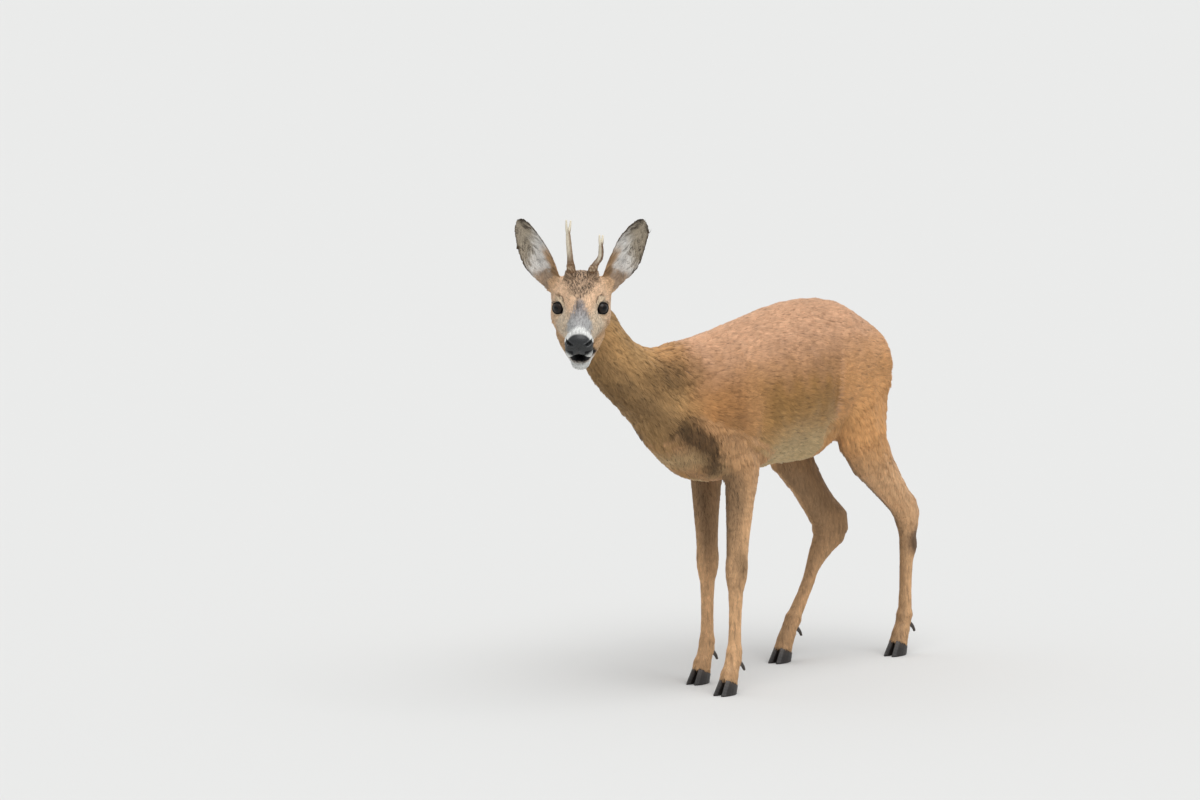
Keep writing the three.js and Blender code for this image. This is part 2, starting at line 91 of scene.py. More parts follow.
# How the coat changes over the body: its depth, the length and width of a tuft, the room that each has, how
# much tufts gather into clumps, how far they lift, and how many rounds smooth the skin below.
COAT = {
    "trunk": (4.2, 19, 3.3, 1.75, 0.35, 0.85, 90),
    "neck": (4.2, 20, 3.3, 1.8, 0.45, 1.05, 60),
    "thigh": (3.0, 16, 3.2, 1.75, 0.35, 0.9, 34),
    "shank": (1.2, 8.5, 2.2, 1.4, 0.20, 0.7, 10),
    "tail": (3.0, 20, 3.2, 1.8, 0.40, 1.0, 12),
    "face": (1.4, 7.0, 1.7, 1.15, 0.25, 0.7, 12),
    "muzzle": (0.7, 4.0, 1.2, 0.95, 0.10, 0.5, 8),
    "ear": (0.5, 7, 1.6, 1.2, 0.20, 0.6, 4),
    "nose": (0.1, 4, 1, 1.5, 0, 0.5, 5),
}
KINDS = list(COAT)
DEPTH, LENGTH, WIDTH, ROOM, CLUMP, LIFT, ROUNDS = range(7)


def srgb(red, green, blue):
    """A colour written 0 to 255 as a picture shows it, as linear light."""
    share = np.array([red, green, blue]) / 255
    return np.where(share <= 0.04045, share / 12.92, ((share + 0.055) / 1.055) ** 2.4)


# The pale top of the back: partly its own colour, partly painted sheen of the light from above.
BACK = srgb(203, 158, 124)
RUFOUS = srgb(204, 151, 98)
SHOULDER = srgb(169, 121, 74)
FLANK = srgb(153, 116, 64)
BELLY = srgb(202, 175, 130)
NECK = srgb(192, 150, 99)
GREY_BROWN = srgb(150, 120, 82)
DARK_BROWN = srgb(62, 45, 24)
BUFF = srgb(192, 166, 124)
LEG_BROWN = srgb(212, 168, 124)
LEG_DARK = srgb(116, 92, 66)
GLAND = srgb(64, 48, 36)
RUMP_PATCH = srgb(232, 214, 180)

FACE = srgb(224, 188, 154)
CHEEK = srgb(226, 206, 180)
JAW_BROWN = srgb(200, 162, 122)
FOREHEAD = srgb(182, 152, 124)
NASAL_DARK = srgb(122, 120, 123)
NASAL = srgb(166, 168, 170)
WHITE = srgb(230, 230, 226)
LID_GREY = srgb(224, 202, 172)
BLACK = srgb(20, 20, 22)
NOSE_BLACK = srgb(35, 37, 38)
EAR_PALE = srgb(254, 250, 244)
EAR_GREY = srgb(200, 186, 164)
EAR_RIM = srgb(52, 42, 34)
EAR_BACK = srgb(158, 126, 92)

# ---------------------------- small helpers


def soft(value, low, high):
    """0 at low and 1 at high, easing between. The two may be in either order."""
    share = np.clip((value - low) / (high - low), 0, 1)
    return share * share * (3 - 2 * share)


def near(points, centre, radii, edge):
    """1 inside an ellipsoid and 0 outside it, easing across its edge."""
    reach = np.linalg.norm((points - np.array(centre)) / np.array(radii), axis=1)
    return 1 - soft(reach, 1 - edge, 1 + edge)


def unit(vectors):
    return vectors / np.maximum(np.linalg.norm(vectors, axis=-1, keepdims=True), 1e-9)


def dot(a, b):
    return np.sum(a * b, axis=-1)


def flattened(ways, normals):
    """The part of each way that lies square to a normal."""
    return ways - normals * dot(ways, normals)[:, None]


def mixed(a, b, share):
    return a + (b - a) * share[:, None]


def ripple(points, wavelength, seed):
    """Random soft waves, about -1 to 1."""
    waves = 14
    rng = np.random.default_rng(seed)
    ways = unit(rng.normal(size=(waves, 3))) * (2 * math.pi / wavelength)
    ways *= rng.uniform(0.7, 1.4, size=(waves, 1))
    phases = rng.uniform(0, 2 * math.pi, waves)
    return np.sum(np.cos(points @ ways.T + phases), axis=1) / math.sqrt(waves)


def turn(x=0.0, y=0.0, z=0.0):
    """The rotation about Y, then X, then Z."""
    about_z = Matrix.Rotation(z, 3, "Z")
    about_x = Matrix.Rotation(x, 3, "X")
    return np.array(about_z @ about_x @ Matrix.Rotation(y, 3, "Y"))


def box_middle(node):
    low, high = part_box(node)
    return np.array((low + high) / 2) / MM


HEAD_AXES = turn(x=HEAD_NOD, z=HEAD_TURN)
EYES_MIDDLE = (box_middle("left_eye") + box_middle("right_eye")) / 2
# Where the deer's own origin lies in the row frame.
ORIGIN = EYES_MIDDLE - HEAD_AXES @ (EYE_AT * [0, 1, 1]) - HEAD_AT


def in_head(points):
    return (points - HEAD_AT) @ HEAD_AXES


def from_head(local):
    return local @ HEAD_AXES.T + HEAD_AT


# ---------------------------- meshes


def read(things, field, width, kind=np.float64):
    values = np.empty(len(things) * width, np.float32 if kind is np.float64 else np.int32)
    things.foreach_get(field, values)
    return values.astype(kind).reshape(-1, width) if width > 1 else values.astype(kind)


def faces_of(mesh):
    """The vertex at each corner of the faces, and each face's first corner."""
    return read(mesh.loops, "vertex_index", 1, np.int64), read(mesh.polygons, "loop_start", 1, np.int64)


def linked(name, data):
    """An object in the scene."""
    thing = bpy.data.objects.new(name, data)
    bpy.context.scene.collection.objects.link(thing)
    return thing


def solids_of(names, grow=0.0):
    """The named nodes in one mesh, in the deer's coordinates, each grown outwards."""
    whole = bmesh.new()
    owners = []
    for name in names:
        part = bmesh.new()
        part.from_mesh(NODES[name].data)
        bmesh.ops.scale(part, vec=(1 / MM,) * 3, verts=part.verts)
        bmesh.ops.translate(part, vec=Vector(-ORIGIN), verts=part.verts)
        bmesh.ops.remove_doubles(part, verts=part.verts, dist=0.01)
        part.normal_update()
        for v in part.verts:
            v.co += v.normal * grow
        mesh = bpy.data.meshes.new(name)
        part.to_mesh(mesh)
        part.free()
        owners += [name] * len(mesh.polygons)
        whole.from_mesh(mesh)
        bpy.data.meshes.remove(mesh)
    mesh = bpy.data.meshes.new("solids")
    whole.to_mesh(mesh)
    whole.free()
    return mesh, owners


def remeshed(mesh, voxel):
    """The mesh as one closed surface of small quads."""
    holder = linked("remesh", mesh)
    voxels = holder.modifiers.new("voxels", "REMESH")
    voxels.mode = "VOXEL"
    voxels.voxel_size = voxel
    graph = bpy.context.evaluated_depsgraph_get()
    made = bpy.data.meshes.new_from_object(holder.evaluated_get(graph), depsgraph=graph)
    bpy.data.objects.remove(holder)
    return made


def keep_largest(mesh):
    """Drops every island but the largest."""
    bm = bmesh.new()
    bm.from_mesh(mesh)
    bm.verts.ensure_lookup_table()
    island = np.full(len(bm.verts), -1)
    count = 0
    for start in bm.verts:
        if island[start.index] >= 0:
            continue
        island[start.index] = count
        stack = [start]
        while stack:
            for edge in stack.pop().link_edges:
                for v in edge.verts:
                    if island[v.index] < 0:
                        island[v.index] = count
                        stack.append(v)
        count += 1
    largest = np.bincount(island).argmax()
    extra = [v for v in bm.verts if island[v.index] != largest]
    bmesh.ops.delete(bm, geom=extra, context="VERTS")
    bm.to_mesh(mesh)
    bm.free()


def refined(mesh, chosen):
    """Splits the edges whose two ends are chosen, and the faces between them."""
    bm = bmesh.new()
    bm.from_mesh(mesh)
    edges = [e for e in bm.edges if chosen[e.verts[0].index] and chosen[e.verts[1].index]]
    bmesh.ops.subdivide_edges(bm, edges=edges, cuts=1, use_grid_fill=True)
    wide = [f for f in bm.faces if len(f.verts) > 4]
    bmesh.ops.triangulate(bm, faces=wide)
    bm.to_mesh(mesh)
    bm.free()


EASE_PACE = 0.5  # how far a point goes towards its neighbours in one round


class Surface:
    """The points of a mesh, in numpy, with the neighbours of each."""

    def __init__(self, mesh):
        self.mesh = mesh
        self.points = read(mesh.vertices, "co", 3)
        edges = read(mesh.edges, "vertices", 2, np.int64)
        self.here = np.concatenate([edges[:, 0], edges[:, 1]])
        self.there = np.concatenate([edges[:, 1], edges[:, 0]])
        self.degree = np.maximum(np.bincount(self.here, minlength=len(self.points)), 1)

    def average(self, values):
        """The mean of each point's neighbours."""
        columns = values.reshape(len(self.points), -1).T
        sums = [np.bincount(self.here, column[self.there], len(self.points)) for column in columns]
        return (np.stack(sums, axis=1) / self.degree[:, None]).reshape(values.shape)

    def eased(self, values, rounds):
        """The values after some rounds of smoothing, which may differ from point to point."""
        rounds = np.broadcast_to(rounds, len(self.points))
        for step in range(int(rounds.max())):
            active = (EASE_PACE * (rounds > step)).reshape((-1,) + (1,) * (values.ndim - 1))
            values = values + active * (self.average(values) - values)
        return values

    def normals(self):
        self.write()
        return read(self.mesh.vertex_normals, "vector", 3)

    def write(self):
        self.mesh.vertices.foreach_set("co", self.points.astype(np.float32).ravel())
        self.mesh.update()


def mesh_of(name, points, corners, starts):
    """A mesh from flat arrays of corner indices and face starts, moved into the row frame, in metres."""
    mesh = bpy.data.meshes.new(name)
    mesh.vertices.add(len(points))
    mesh.vertices.foreach_set("co", ((points + ORIGIN) * MM).astype(np.float32).ravel())
    mesh.loops.add(len(corners))
    mesh.loops.foreach_set("vertex_index", corners.astype(np.int32))
    mesh.polygons.add(len(starts))
    mesh.polygons.foreach_set("loop_start", starts.astype(np.int32))
    mesh.update(calc_edges=True)
    mesh.polygons.foreach_set("use_smooth", np.ones(len(starts), bool))
    return mesh


def paint(mesh, colours):
    """The markings, one colour to each vertex."""
    layer = mesh.color_attributes.new("marking", "FLOAT_COLOR", "POINT")
    opaque = np.column_stack([np.clip(colours, 0, 1), np.ones(len(colours))])
    layer.data.foreach_set("color", opaque.astype(np.float32).ravel())


def unwrap(mesh, places):
    """Sets the OFBake map from one place to each corner."""
    layer = mesh.uv_layers.new(name="OFBake")
    layer.data.foreach_set("uv", places.astype(np.float32).ravel())


def shown(name, mesh, slot, *materials, stands_for=()):
    """Puts a finished mesh in the scene."""
    piece = linked(name, mesh)
    for material in materials:
        mesh.materials.append(material)
    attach(piece, "root")
    if stands_for:
        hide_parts(*stands_for)


# ---------------------------- materials


class Shader:
    """A material whose base colour is the markings, varied by noise."""

    def __init__(self, name, roughness, specular=0.5, wet=0.0, sheen=0.0):
        self.material = bpy.data.materials.new(name)
        self.material.use_nodes = True
        self.nodes = self.material.node_tree.nodes
        self.base = self.nodes["Principled BSDF"]
        surface = {"Roughness": roughness, "Specular IOR Level": specular, "Coat Weight": wet,
                   "Coat Roughness": 0.08, "Sheen Weight": sheen, "Sheen Roughness": 0.4}
        for socket, value in surface.items():
            self.base.inputs[socket].default_value = value
        self.place = self.add("ShaderNodeTexCoord").outputs["Object"]

    def add(self, kind, **settings):
        node = self.nodes.new(kind)
        for key, value in settings.items():
            if key in node.inputs:
                node.inputs[key].default_value = value
            else:
                setattr(node, key, value)
        return node

    def link(self, source, target):
        self.material.node_tree.links.new(source, target)

    def noise(self, size, detail=2.0, stretch=(1, 1, 1)):
        """Noise with features of a size in millimetres."""
        mapping = self.add("ShaderNodeMapping")
        mapping.inputs["Scale"].default_value = stretch
        self.link(self.place, mapping.inputs["Vector"])
        noise = self.add("ShaderNodeTexNoise", Scale=1 / (size * MM), Detail=detail)
        self.link(mapping.outputs["Vector"], noise.inputs["Vector"])
        return noise.outputs["Fac"]

    def cells(self, size):
        cells = self.add("ShaderNodeTexVoronoi", Scale=1 / (size * MM))
        self.link(self.place, cells.inputs["Vector"])
        return cells.outputs["Distance"]

    def colour(self, variation, size):
        """The markings, lighter and darker by a share, in patches of a size."""
        marking = self.add("ShaderNodeAttribute", attribute_name="marking")
        ramp = self.add("ShaderNodeMapRange")
        ramp.inputs["To Min"].default_value = 1 - variation
        ramp.inputs["To Max"].default_value = 1 + variation
        self.link(self.noise(size), ramp.inputs["Value"])
        scaled = self.add("ShaderNodeVectorMath", operation="SCALE")
        self.link(marking.outputs["Color"], scaled.inputs[0])
        self.link(ramp.outputs["Result"], scaled.inputs["Scale"])
        self.link(scaled.outputs["Vector"], self.base.inputs["Base Color"])
        return self

    def bump(self, height, depth):
        """Bumps of a depth in millimetres."""
        bump = self.add("ShaderNodeBump", Strength=1.0, Distance=depth * MM)
        self.link(height, bump.inputs["Height"])
        self.link(bump.outputs["Normal"], self.base.inputs["Normal"])
        return self


def finishes():
    hide = Shader("hide", roughness=0.85, specular=0.2).colour(0.18, 3)
    hide.bump(hide.noise(1.2, detail=3), 0.6)
    hair = Shader("hair", roughness=0.6, specular=0.25, sheen=0.15).colour(0.08, 2.5)
    nose = Shader("nose_leather", roughness=0.38, specular=0.45, wet=0.15).colour(0.2, 4)
    nose.bump(nose.cells(1.7), 0.35)
    mouth = Shader("mouth_lining", roughness=0.5, specular=0.2).colour(0.2, 4)
    mouth.bump(mouth.noise(2), 0.4)
    eye = Shader("eye_gloss", roughness=0.05, specular=0.25).colour(0.1, 1.5)
    antler = Shader("antler_bone", roughness=0.55, specular=0.35).colour(0.25, 2)
    antler.bump(antler.noise(0.9, detail=4), 0.35)
    hoof = Shader("hoof_horn", roughness=0.42, specular=0.45).colour(0.3, 5)
    hoof.bump(hoof.noise(1.4, detail=3, stretch=(1, 1, 0.25)), 0.25)
    made = (hide, hair, nose, mouth, eye, antler, hoof)
    return {shader.material.name: shader.material for shader in made}


# ---------------------------- places on the head


class Ear:
    """An ear's own axes: across and outwards, back, and along towards the tip."""

    def __init__(self, side):
        self.side = np.array([side, 1, 1])
        self.axes = turn(x=-EAR_LEAN, y=EAR_SPLAY, z=EAR_FACING)

    def place(self, local):
        return (local * self.side - EAR_AT) @ self.axes

    def way(self, directions):
        return (directions * self.side) @ self.axes

    def back_way(self, directions):
        """Directions in the ear's axes, as directions in the head's."""
        return (directions @ self.axes.T) * self.side

    def back_place(self, place):
        return (place @ self.axes.T + EAR_AT) * self.side

    def inside(self, local, normals):
        """How far the surface faces into the cup: 1 inside, -1 on the back, 0 on the rim."""
        place = self.place(local)
        # Low down the cup is shallow, and its middle lies further forward.
        forward = 4 + 30 * soft(place[:, 2], EAR_OPEN + 16, EAR_OPEN - 8)
        middle = np.column_stack([np.full(len(place), EAR_MIDDLE), -forward])
        radial = place[:, :2] - middle
        return -dot(self.way(normals)[:, :2], unit(radial)) * soft(place[:, 2], 2, 14)


class Eye:
    """An eye's own axes: its gaze, towards the inner corner, and up."""

    def __init__(self, side):
        ahead = np.array([math.sin(GAZE_TURN), -math.cos(GAZE_TURN), math.tan(GAZE_RISE)])
        self.centre = EYE_AT * [side, 1, 1]
        self.gaze = unit(ahead * [side, 1, 1])
        inner = np.array([-0.8 * side, -0.8, -0.15])
        self.inner = unit(inner - self.gaze * dot(inner, self.gaze))
        self.up = np.cross(self.gaze, self.inner)
        self.up *= np.sign(self.up[2])

    def outside_lids(self, local):
        """How far each point lies outside the lids' opening, in millimetres along the eyeball."""
        offset = local - self.centre
        ahead = offset @ self.gaze
        along = np.arctan2(offset @ self.inner, ahead)
        rise = np.arctan2(offset @ self.up, np.maximum(np.hypot(ahead, offset @ self.inner), 1e-6))
        half = np.where(rise > 0, LIDS_UP, LIDS_DOWN)
        beyond = np.abs(rise) - half * (1 - (along / LIDS_HALF_LENGTH) ** 2)
        return np.where(ahead > 0, beyond, 3.0) * EYE_RADIUS

    def ring(self, local):
        """Distance from the eye's middle, and the angle round the gaze: 0 at the inner corner, 90 above."""
        offset = local - self.centre
        angle = np.degrees(np.arctan2(offset @ self.up, offset @ self.inner))
        return np.linalg.norm(offset, axis=1), angle


EARS = {name: Ear(side) for name, side in SIDES.items()}
EYES = {name: Eye(side) for name, side in SIDES.items()}


def on_one_side(points, forms, side=1):
    """How far each form reaches at each point, and its push there."""
    flip = np.array([side, 1, 1])
    for centre, radii, push in forms:
        offset = (points - np.array(centre) * flip) / np.array(radii)
        yield np.exp(-0.5 * dot(offset, offset)), np.array(push) * flip


def on_both_sides(points, forms):
    """The same for each form on the left side and on the right."""
    for side in SIDES.values():
        yield from on_one_side(points, forms, side)


# ---------------------------- the skin


class Kinds:
    """How much each kind of coat counts at each point."""

    def __init__(self, surface, finder, owners, ease):
        points = surface.points
        owner = np.array([owners[finder.find_nearest(Vector(p))[2]] for p in points])
        local = in_head(points)
        self.owner = owner
        counts = {kind: owner == kind for kind in ("trunk", "neck", "tail", "nose")}
        counts["ear"] = np.char.endswith(owner, "ear")
        face = np.isin(owner, FACE_NODES)
        muzzle = soft(local[:, 1], -50, -90)
        counts["face"], counts["muzzle"] = face * (1 - muzzle), face * muzzle
        leg = np.char.endswith(owner, "leg")
        upper = soft(points[:, 2], 250, 400)
        counts["thigh"], counts["shank"] = leg * upper, leg * (1 - upper)
        self.weights = surface.eased(np.stack([counts[kind] for kind in KINDS], axis=1), ease)

    def of(self, column):
        """One measure of the coat at each point."""
        return self.weights @ np.array([COAT[kind][column] for kind in KINDS])

    def share(self, *kinds):
        return sum(self.weights[:, KINDS.index(kind)] for kind in kinds)


# Forms on the body that the solids leave out: centre, radii, and a push, on both sides.
BODY_FORMS = (
    ((84, -122, 470), (16, 14, 75), (-4, 0, 0)),  # behind the shoulder
    ((70, -205, 560), (20, 30, 60), (3, -1, 0)),  # shoulder blade
    ((62, -205, 415), (16, 18, 22), (2, 2, -2)),  # elbow
    ((0, -385, 500), (40, 50, 40), (0, 3, 5)),  # underside of the neck
    ((6, -322, 640), (30, 48, 36), (0, 0, 6.5)),  # foot of the neck's crest
    ((92, 112, 510), (20, 14, 75), (-3, 0, 0)),  # ahead of the thigh
    ((95, 170, 490), (22, 34, 70), (3, 0, 0)),  # thigh muscle
    ((98, 285, 478), (30, 38, 42), (-8, -6, 0)),  # hollow behind the thigh
    ((84, 320, 538), (28, 28, 22), (8, 6, 0)),  # seat bone
    ((60, 295, 622), (40, 40, 32), (-5, -6, -6)),  # slope of the rump
    ((30, 95, 420), (38, 50, 22), (0, 0, -8)),  # belly ahead of the flank
)
# Forms on one leg alone, as the far hind leg bears weight.
LEG_FORMS = (
    ((-70, 268, 275), (25, 22, 34), (-3, -6, 0)),  # front of the shin
    ((-58, 292, 234), (25, 22, 26), (-7, -12, 0)),  # front of the hock
    ((-52, 285, 180), (22, 18, 30), (-3, -6, 0)),  # front of the far cannon
    ((-48, 335, 195), (20, 16, 24), (2, 6, 0)),  # back of the far cannon
    ((-50, 350, 245), (22, 24, 36), (4, 13, 0)),  # point of the hock
    ((70, 424, 198), (14, 12, 14), (1, 7, 0)),  # gland below the near hock
)
# Where the solids meet at a hard edge, and how many more rounds ease the skin there.
BLENDS = (
    ((26, 262, 448), (34, 58, 36), 60),  # between the thighs
    ((62, 330, 258), (24, 24, 30), 10),  # right hock
    ((62, 424, 250), (24, 24, 30), 10),  # left hock
)
# Forms on the head, in its own axes.
HEAD_FORMS = (
    ((30, -4, 22), (12, 10, 5), (1.5, -0.4, 1.5)),  # brow
    ((47, -34, -14), (8, 26, 4), (1.4, 0, 0.6)),  # cheekbone
    ((13, -64, 20), (4, 30, 4), (0.9, 0, 0.4)),  # edge of the nasal bridge
    ((38, 22, -38), (10, 16, 16), (2, 0, 0)),  # jaw muscle
    ((22, -107, -5), (7, 8, 9), (3.0, -0.5, 0)),  # wing of the nostril
    ((17.5, -102, -25), (6.5, 13, 6.5), (1.5, -1, -10)),  # hanging upper lip
    ((3, -108, -24), (5, 10, 5), (0, 0, 2)),  # the upper lip's raised middle
    ((18.5, -108, -22), (6, 7, 6), (1.5, -2.5, 0)),  # front of the upper lip
    ((9, 44, 46), (8, 12, 6), (0, 0, -1.2)),  # between the antlers
    ((0, -108, -58), (12, 8, 8), (0, -2, 0)),  # chin
    ((20, -92, -56), (6, 16, 9), (-3, 0, 0)),  # narrow sides of the chin
)
STUMPS = ((21.5, 39.0, 51.0), (-17.2, 39.0, 52.0))  # the bone below each antler, just inside its foot
STUMP_TOP = 6.5  # radius at the antler
STUMP_FOOT = 13.5  # radius where it leaves the skull
NOSTRIL_AT = np.array([17.0, -117.0, -5.0])
NOSTRIL_SIZE = (6.5, 3.4)
NOSTRIL_DEEP = 7.0
NOSTRIL_SLANT = math.radians(30)
EAR_INNER_WIDER = {"left": 0.2, "right": 0.0}
EAR_BENT_IN = {"left": 2.0, "right": 4.0}  # at the tip, in millimetres
CREASE_REACH = 22.0  # of the fold above the eye, from its middle


def shape_head(local):
    """Adds the finer forms of the face."""
    moved = local.copy()
    for share, push in on_both_sides(local, HEAD_FORMS):
        moved += share[:, None] * push
    for stump in STUMPS:
        offset = stump - local
        beside = soft(np.hypot(offset[:, 0], offset[:, 1]), STUMP_FOOT, STUMP_TOP)
        moved[:, 2] += np.maximum(offset[:, 2], 0) * beside * soft(offset[:, 2], 36, 24)
    for side in SIDES.values():
        offset = (local - NOSTRIL_AT * [side, 1, 1]) * [side, 1, 1]
        along = offset[:, 0] * math.cos(NOSTRIL_SLANT) + offset[:, 2] * math.sin(NOSTRIL_SLANT)
        over = offset[:, 2] * math.cos(NOSTRIL_SLANT) - offset[:, 0] * math.sin(NOSTRIL_SLANT)
        over = over - 0.05 * along**2
        reach = np.hypot(along / NOSTRIL_SIZE[0], over / NOSTRIL_SIZE[1])
        ahead = soft(offset[:, 1], 16, 8)
        hole = (1 - soft(reach, 0.55, 1.05)) * ahead
        rim = np.exp(-((reach - 1.3) ** 2) / 0.06) * ahead
        moved += hole[:, None] * np.array([-0.35 * side, 0.9, 0.1]) * NOSTRIL_DEEP
        moved += rim[:, None] * np.array([0.4 * side, -1.2, 0.1])
    cleft = np.exp(-((local[:, 0] / 1.3) ** 2)) * soft(local[:, 1], -104, -112) * soft(local[:, 2], -2, -12)
    moved[:, 1] += 1.6 * cleft
    return moved


def shape_lids(local):
    """Lays the skin over each eyeball, and opens it between the lids."""
    for eye in EYES.values():
        reach, angle = eye.ring(local)
        beyond = eye.outside_lids(local)
        rim = EYE_RADIUS + LID_THICK + 0.5 * np.exp(-((beyond - 1) ** 2) / 1.5)
        fold = 0.7 * np.exp(-((beyond - 5.5) ** 2) / 1.4)
        highest = rim + 0.75 * np.maximum(beyond, 0) - fold
        lying = np.clip(reach, rim, np.maximum(highest, rim))
        close = soft(reach, 40, 26) * soft(beyond, 26, 12)
        wanted = reach + (lying - reach) * close
        above = soft(angle, 10, 40) * soft(angle, 140, 110)
        wanted = wanted - 1.1 * above * np.exp(-((beyond - 10) ** 2) / 1.8)
        opened = soft(beyond, 0.5, -0.3) * (reach < EYE_RADIUS + 6)
        wanted = wanted + (EYE_RADIUS - 3 - wanted) * opened
        local = eye.centre + (local - eye.centre) * (wanted / np.maximum(reach, 1e-6))[:, None]
    return local


def blend(surface, blends):
    """Eases the surface where forms meet at a hard edge."""
    points = surface.points
    rounds = np.zeros(len(points))
    for centre, radii, most in blends:
        for side in SIDES.values():
            rounds = np.maximum(rounds, most * near(points, np.array(centre) * [side, 1, 1], radii, 0.6))
    surface.points = surface.eased(points, np.ceil(rounds))


def shape_ears(local, facing, owner):
    """Rounds the tips, bends them in, and hollows the foot of each cup."""
    moved = local.copy()
    for name, ear in EARS.items():
        mine = owner == f"{name}_ear"
        place = ear.place(local)
        share = place[:, 2] / EAR_LENGTH
        inside = soft(ear.inside(local, facing), 0.3, 0.8)
        wider = 0.10 * soft(share, 0.7, 0.86) + 0.12 * soft(share, 0.86, 0.98)
        wider += EAR_INNER_WIDER[name] * soft(share, 0.4, 0.7) * (place[:, 0] < 2)
        place[:, 0] = 2 + (place[:, 0] - 2) * (1 + wider) - EAR_BENT_IN[name] * soft(share, 0.35, 1)
        place[:, 2] -= 0.4 * np.maximum(place[:, 2] - 0.93 * EAR_LENGTH, 0)
        hollow = inside * soft(place[:, 2], 6, 22) * soft(place[:, 2], 54, 34)
        place[:, 1] += 7 * hollow * np.clip(1 - ((place[:, 0] - EAR_MIDDLE) / 20) ** 2, 0, 1)
        moved[mine] = ear.back_place(place)[mine]
    return moved


def settle(surface, depth, rounds):
    """Smooths a surface, and then sets it evenly a depth below where it was."""
    full = surface.points
    surface.points = surface.eased(full, rounds)
    for share in (1, 0.5):
        out = surface.normals()
        gap = surface.eased(dot(full - surface.points, out), np.ceil(rounds * share))
        surface.points = surface.points + out * (gap - depth)[:, None]
    surface.write()


def fine_zones(local, owner):
    """Where the skin needs small faces: first over head and ears, then round the eyes, nose and mouth."""
    near_eyes = np.min([np.linalg.norm(local - eye.centre, axis=1) for eye in EYES.values()], axis=0) < 29
    ears = np.char.endswith(owner, "ear") & (local[:, 2] > 0)
    head = np.isin(owner, FACE_NODES + ("nose",))
    head &= (local[:, 1] < 60) & (local[:, 2] > -78)
    return head | ears, near_eyes | (head & (local[:, 1] < -86))


def grow_skin():
    """One smooth skin through the flesh, inside it by the coat's depth."""
    solids, owners = solids_of(FLESH + EYE_NODES, OVERLAP)
    flesh = bmesh.new()
    flesh.from_mesh(solids)
    finder = BVHTree.FromBMesh(flesh)
    flesh.free()
    mesh = remeshed(solids, VOXEL)
    keep_largest(mesh)
    skin = Surface(mesh)
    kinds = Kinds(skin, finder, owners, 4)
    settle(skin, skin.eased(kinds.of(DEPTH), 20) + OVERLAP, kinds.of(ROUNDS))
    for share, push in [*on_both_sides(skin.points, BODY_FORMS), *on_one_side(skin.points, LEG_FORMS)]:
        skin.points = skin.points + share[:, None] * push
    blend(skin, BLENDS)
    skin.write()
    for level in (0, 1):
        refined(mesh, fine_zones(in_head(skin.points), kinds.owner)[level])
        skin = Surface(mesh)
        kinds = Kinds(skin, finder, owners, 6)
        zone = fine_zones(in_head(skin.points), kinds.owner)[level]
        skin.points = skin.eased(skin.points, np.where(zone, 3, 0))
        if level == 0:
            facing = skin.normals() @ HEAD_AXES
            skin.points = from_head(shape_ears(in_head(skin.points), facing, kinds.owner))
        skin.write()
    skin.points = from_head(shape_lids(shape_head(in_head(skin.points))))
    skin.write()
    return skin, kinds


# ---------------------------- markings

# The way that the hair points on each part of the body.
WAYS = {
    "trunk": (0, 1, -0.22),
    "neck": (0.16, 0.68, -0.72),
    "thigh": (0, 0.35, -1),
    "shank": (0, 0.03, -1),
    "tail": (0, 0.1, -1),
}
# Marks on the body, each a place and its radii, on both sides.
DARK_WITHERS = ((40, -352, 600), (44, 60, 30))
BEHIND_SHOULDER = ((88, -150, 525), (40, 30, 48))
PALE_BRISKET = ((30, -295, 436), (38, 46, 26))
RUMP_MIDDLE = ((0, 352, 556), (62, 46, 78))
KNEE = ((74, -160, 238), (16, 14, 24))
# One gland below each hock, as the hind legs stand apart.
GLANDS = (((74, 420, 214), (14, 20, 24)), ((-62, 318, 200), (14, 20, 24)))
DARK_BAND = ((58, -312, 498), (64, -268, 468), (66, -218, 400))  # down the front of the shoulder
DARK_BAND_REACH = (50, 52)
# Marks on the head. A patch has half its width at some points along it.
WHITE_LIP = ((18.5, -108, -29), (9, 12, 9))
FOREHEAD_HALF = ((-28, -20, 0, 36, 60), (2, 9, 20, 29, 25))
NASAL_HALF = ((-90, -75, -63, -48, -32, -25), (29, 31, 19, 12, 7, 3))
DARK_SHARE = 0.006  # of the tufts, where no mark adds more


def streaks(points, way, width, seed):
    """Random waves drawn out along one way."""
    way = unit(np.array(way, float))
    squeezed = points - 0.84 * (points @ way)[:, None] * way
    return ripple(squeezed, width, seed)


def beside_line(points, start, end, reach):
    """1 along a line from start to end, easing to 0 at a distance."""
    start, end = np.array(start, float), np.array(end, float)
    way = end - start
    share = np.clip((points - start) @ way / dot(way, way), 0, 1)
    distance = np.linalg.norm(points - start - share[:, None] * way, axis=1)
    return soft(distance, reach, 0)


def painted(colour, *marks):
    """A colour under marks laid over it in turn, each a tone and how much of it shows."""
    for tone, share in marks:
        colour = mixed(colour, tone, share)
    return colour


